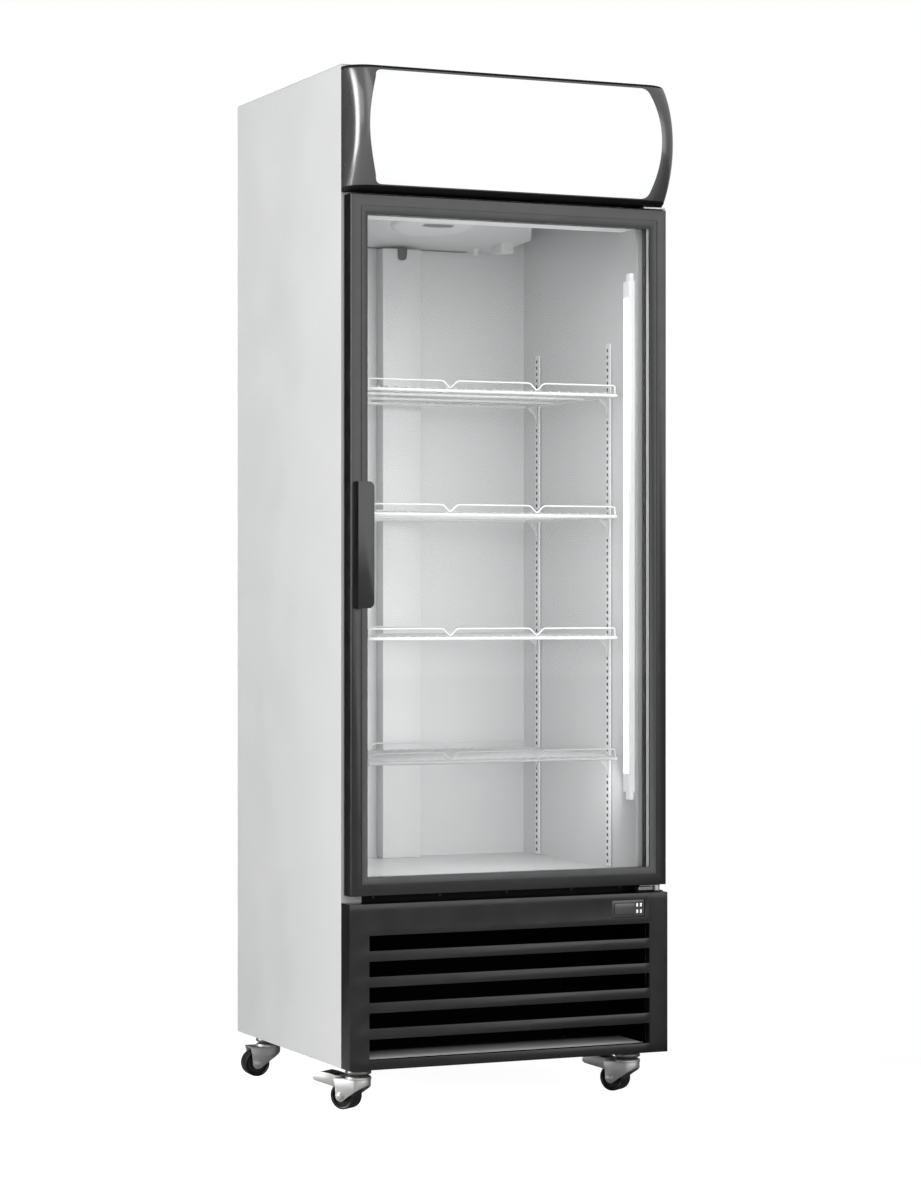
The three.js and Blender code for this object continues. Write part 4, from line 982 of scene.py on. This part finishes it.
def caster_wheel(turn):
    groove = []
    for k in range(7):
        h = 11.4 - k * 3.8
        groove += [(WHEEL_R, h + 0.9), (WHEEL_R - 0.7, h + 0.5), (WHEEL_R - 0.7, h - 0.5), (WHEEL_R, h - 0.9)]
    side = [(4.3, 16), (9.4, 16), (10, 15.4), (10.8, 11.5), (18.8, 11.5), (19.6, 12.4), (20.4, 14.6),
            (21.4, 15.4), (22.8, 15.8), (24.4, 15.4), (25.2, 14.4)]
    profile = side + groove + [(r, -h) for r, h in reversed(side)]
    return Kit(turn).lathe(profile, (TRAIL, 0, WHEEL_R), (0, 1, 0), 64)


def caster_plate(x, y):
    """The square top plate with its four nuts, and the race under it."""
    plate = Kit(Matrix.Translation((x, y, 0)))
    plate.prism("z", [(31 * c, 31 * s) for c, s in ((-1, -1), (1, -1), (1, 1), (-1, 1))], 80.6, 83)
    plate.lathe([(0, 66.1), (21, 66.1), (24, 67.8), (24.4, 70), (23.6, 73.4), (20, 75.6), (17, 80.7),
                 (0, 80.7)])
    for sx in (-1, 1):
        for sy in (-1, 1):
            plate.lathe([(0, 76.8), (4.6, 76.8), (5.2, 77.6), (5.2, 80.8), (0, 80.8)], (sx * 25, sy * 25, 0),
                        sides=6)
    return plate


def brake_pedal(turn):
    """The pedal's two cheeks and its top, and then the pad on it."""
    pedal = Kit(turn)
    cheek = [(37.5, 40), (50, 42.8), (66, 45.8), (86, 49.6), (91, 54.2), (89.5, 60), (70, 66), (56, 64.5),
             (37.5, 61)]
    for s in (-1, 1):
        pedal.prism("y", cheek, *sorted((s * 16.2, s * 17.8)))
    top = [(27, 59.6), (37.5, 60.2), (56, 63.7), (70, 65.2), (89.5, 59.2), (90.4, 60.2), (70, 66.8),
           (56, 65.3), (37.5, 61.8), (27, 61.2)]
    pedal.prism("y", top, -17.6, 17.6)
    pad = [(40, 61.9), (56, 64.9), (70, 66.4), (88, 60.6), (88.4, 61.6), (70, 67.8), (56, 66.3), (40, 63.2)]
    return pedal, Kit(turn).prism("y", pad, -16, 16)


def add_caster(place, x, depth, trail, brake):
    y = FRONT_MM + depth
    turn = Matrix.Translation((x, y, 0)) @ Matrix.Rotation(math.radians(trail), 4, "Z")
    build(f"fork_sheet_{place}", caster_fork(turn), ZINC, f"fork_{place}",
          [f"caster_fork_{place}"], bevel=0.5, segments=2)
    build(f"wheel_tyre_{place}", caster_wheel(turn), TYRE, f"wheel_{place}",
          [f"caster_wheel_{place}"], smooth=28)
    # The race's darker zinc is painted shade
    build(f"swivel_plate_{place}", caster_plate(x, y), SHADED_ZINC, "cabinet",
          [f"caster_plate_{place}"], bevel=0.4, segments=2)
    if brake:
        pedal, pad = brake_pedal(turn)
        build(f"pedal_plate_{place}", pedal, ZINC, f"pedal_{place}", [f"brake_pedal_{place}"],
              bevel=0.5, segments=2)
        build(f"pedal_pad_{place}", pad, TYRE, f"pedal_{place}", bevel=0.5, segments=2)


# ------------------------------------------------------------------ CAD nodes

def dress(node, material, bevel):
    """Gives a CAD node its surface, and rounds its edges."""
    piece = nodes[node]
    piece.data.materials.clear()
    piece.data.materials.append(material)
    for polygon in piece.data.polygons:
        polygon.material_index = 0
    weld = piece.modifiers.new("weld", "WELD")
    weld.merge_threshold = 1e-5
    if bevel:
        round_edges(piece, bevel)
    smooth_by_angle(piece)


# Each node's surface and the radius of its edges, and then those of the families by the start of their names
SURFACES = {
    "left_side_panel": (WHITE_STEEL, 0.5), "right_side_panel": (WHITE_STEEL, 0.5),
    "top_panel": (WHITE_STEEL, 0.5), "back_panel": (WHITE_STEEL, 0.4), "rear_vent_panel": (WHITE_STEEL, 0.3),
    "front_sill": (SILL, 0.3), "foam_insulation": (FOAM, 0), "inner_liner": (LINER, 0),
    "header_housing": (HEADER, 0), "header_sign": (SIGN, 0), "header_lamp": (LAMP_BODY_GLOW, 0),
    "lower_grille": (BLACK, 0.8), "controller": (BLACK_GLOSS, 0.4), "base_chassis": (GALVANISED, 0.5),
    # The condenser coil and the electrical box take the near-black painted shade of the deck's inside
    "compressor": (MACHINE, 0), "condenser_coil": (SHADE_BLACK, 0), "condenser_fan_shroud": (MACHINE, 0),
    "condensate_tray": (MACHINE, 0.5), "electrical_box": (SHADE_BLACK, 1.0), "evaporator_cover": (LINER, 0),
    "evaporator_fan_motor": (MACHINE, 0.5), "evaporator_coil": (ALUMINIUM, 0), "rear_air_duct": (LINER, 1.0),
    "interior_lamp": (LAMP, 0.8), "bottom_hinge_bracket": (ZINC, 0.4), "top_hinge_bracket": (ZINC, 0.4),
    "door_frame": (BLACK, 1.0), "outer_glass": (PANE, 0), "inner_glass": (PANE, 0),
    "glass_spacer": (ALUMINIUM, 0.3), "door_gasket": (GASKET, 1.0), "door_handle": (BLACK, 0.9),
    "evaporator_fan": (ALUMINIUM, 0), "condenser_fan": (ALUMINIUM, 0),
}
FAMILIES = {"standard_": (STANDARD, 0.4), "shelf_": (WIRE, 0.6), "key_": (KEY_GLOW, 0.4),
            "caster_wheel": (TYRE, 0.6), "": (ZINC, 0.4)}
for node_name in [*SURFACES, *(name for name in sorted(nodes) if name not in SURFACES)]:
    family = next(start for start in FAMILIES if node_name.startswith(start))
    dress(node_name, *SURFACES.get(node_name, FAMILIES[family]))

add_header()
add_door()
add_shelves()
for standard_hand, standard_side in (("left", -1), ("right", 1)):
    for standard_place in ("front", "rear"):
        add_standard(standard_place, standard_hand, standard_side)
add_interior_lamp()
add_evaporator_cover()
add_grille()
add_controller()
add_screws()
add_bottom_hinge()
for caster_place, details in CASTERS.items():
    add_caster(caster_place, *details)
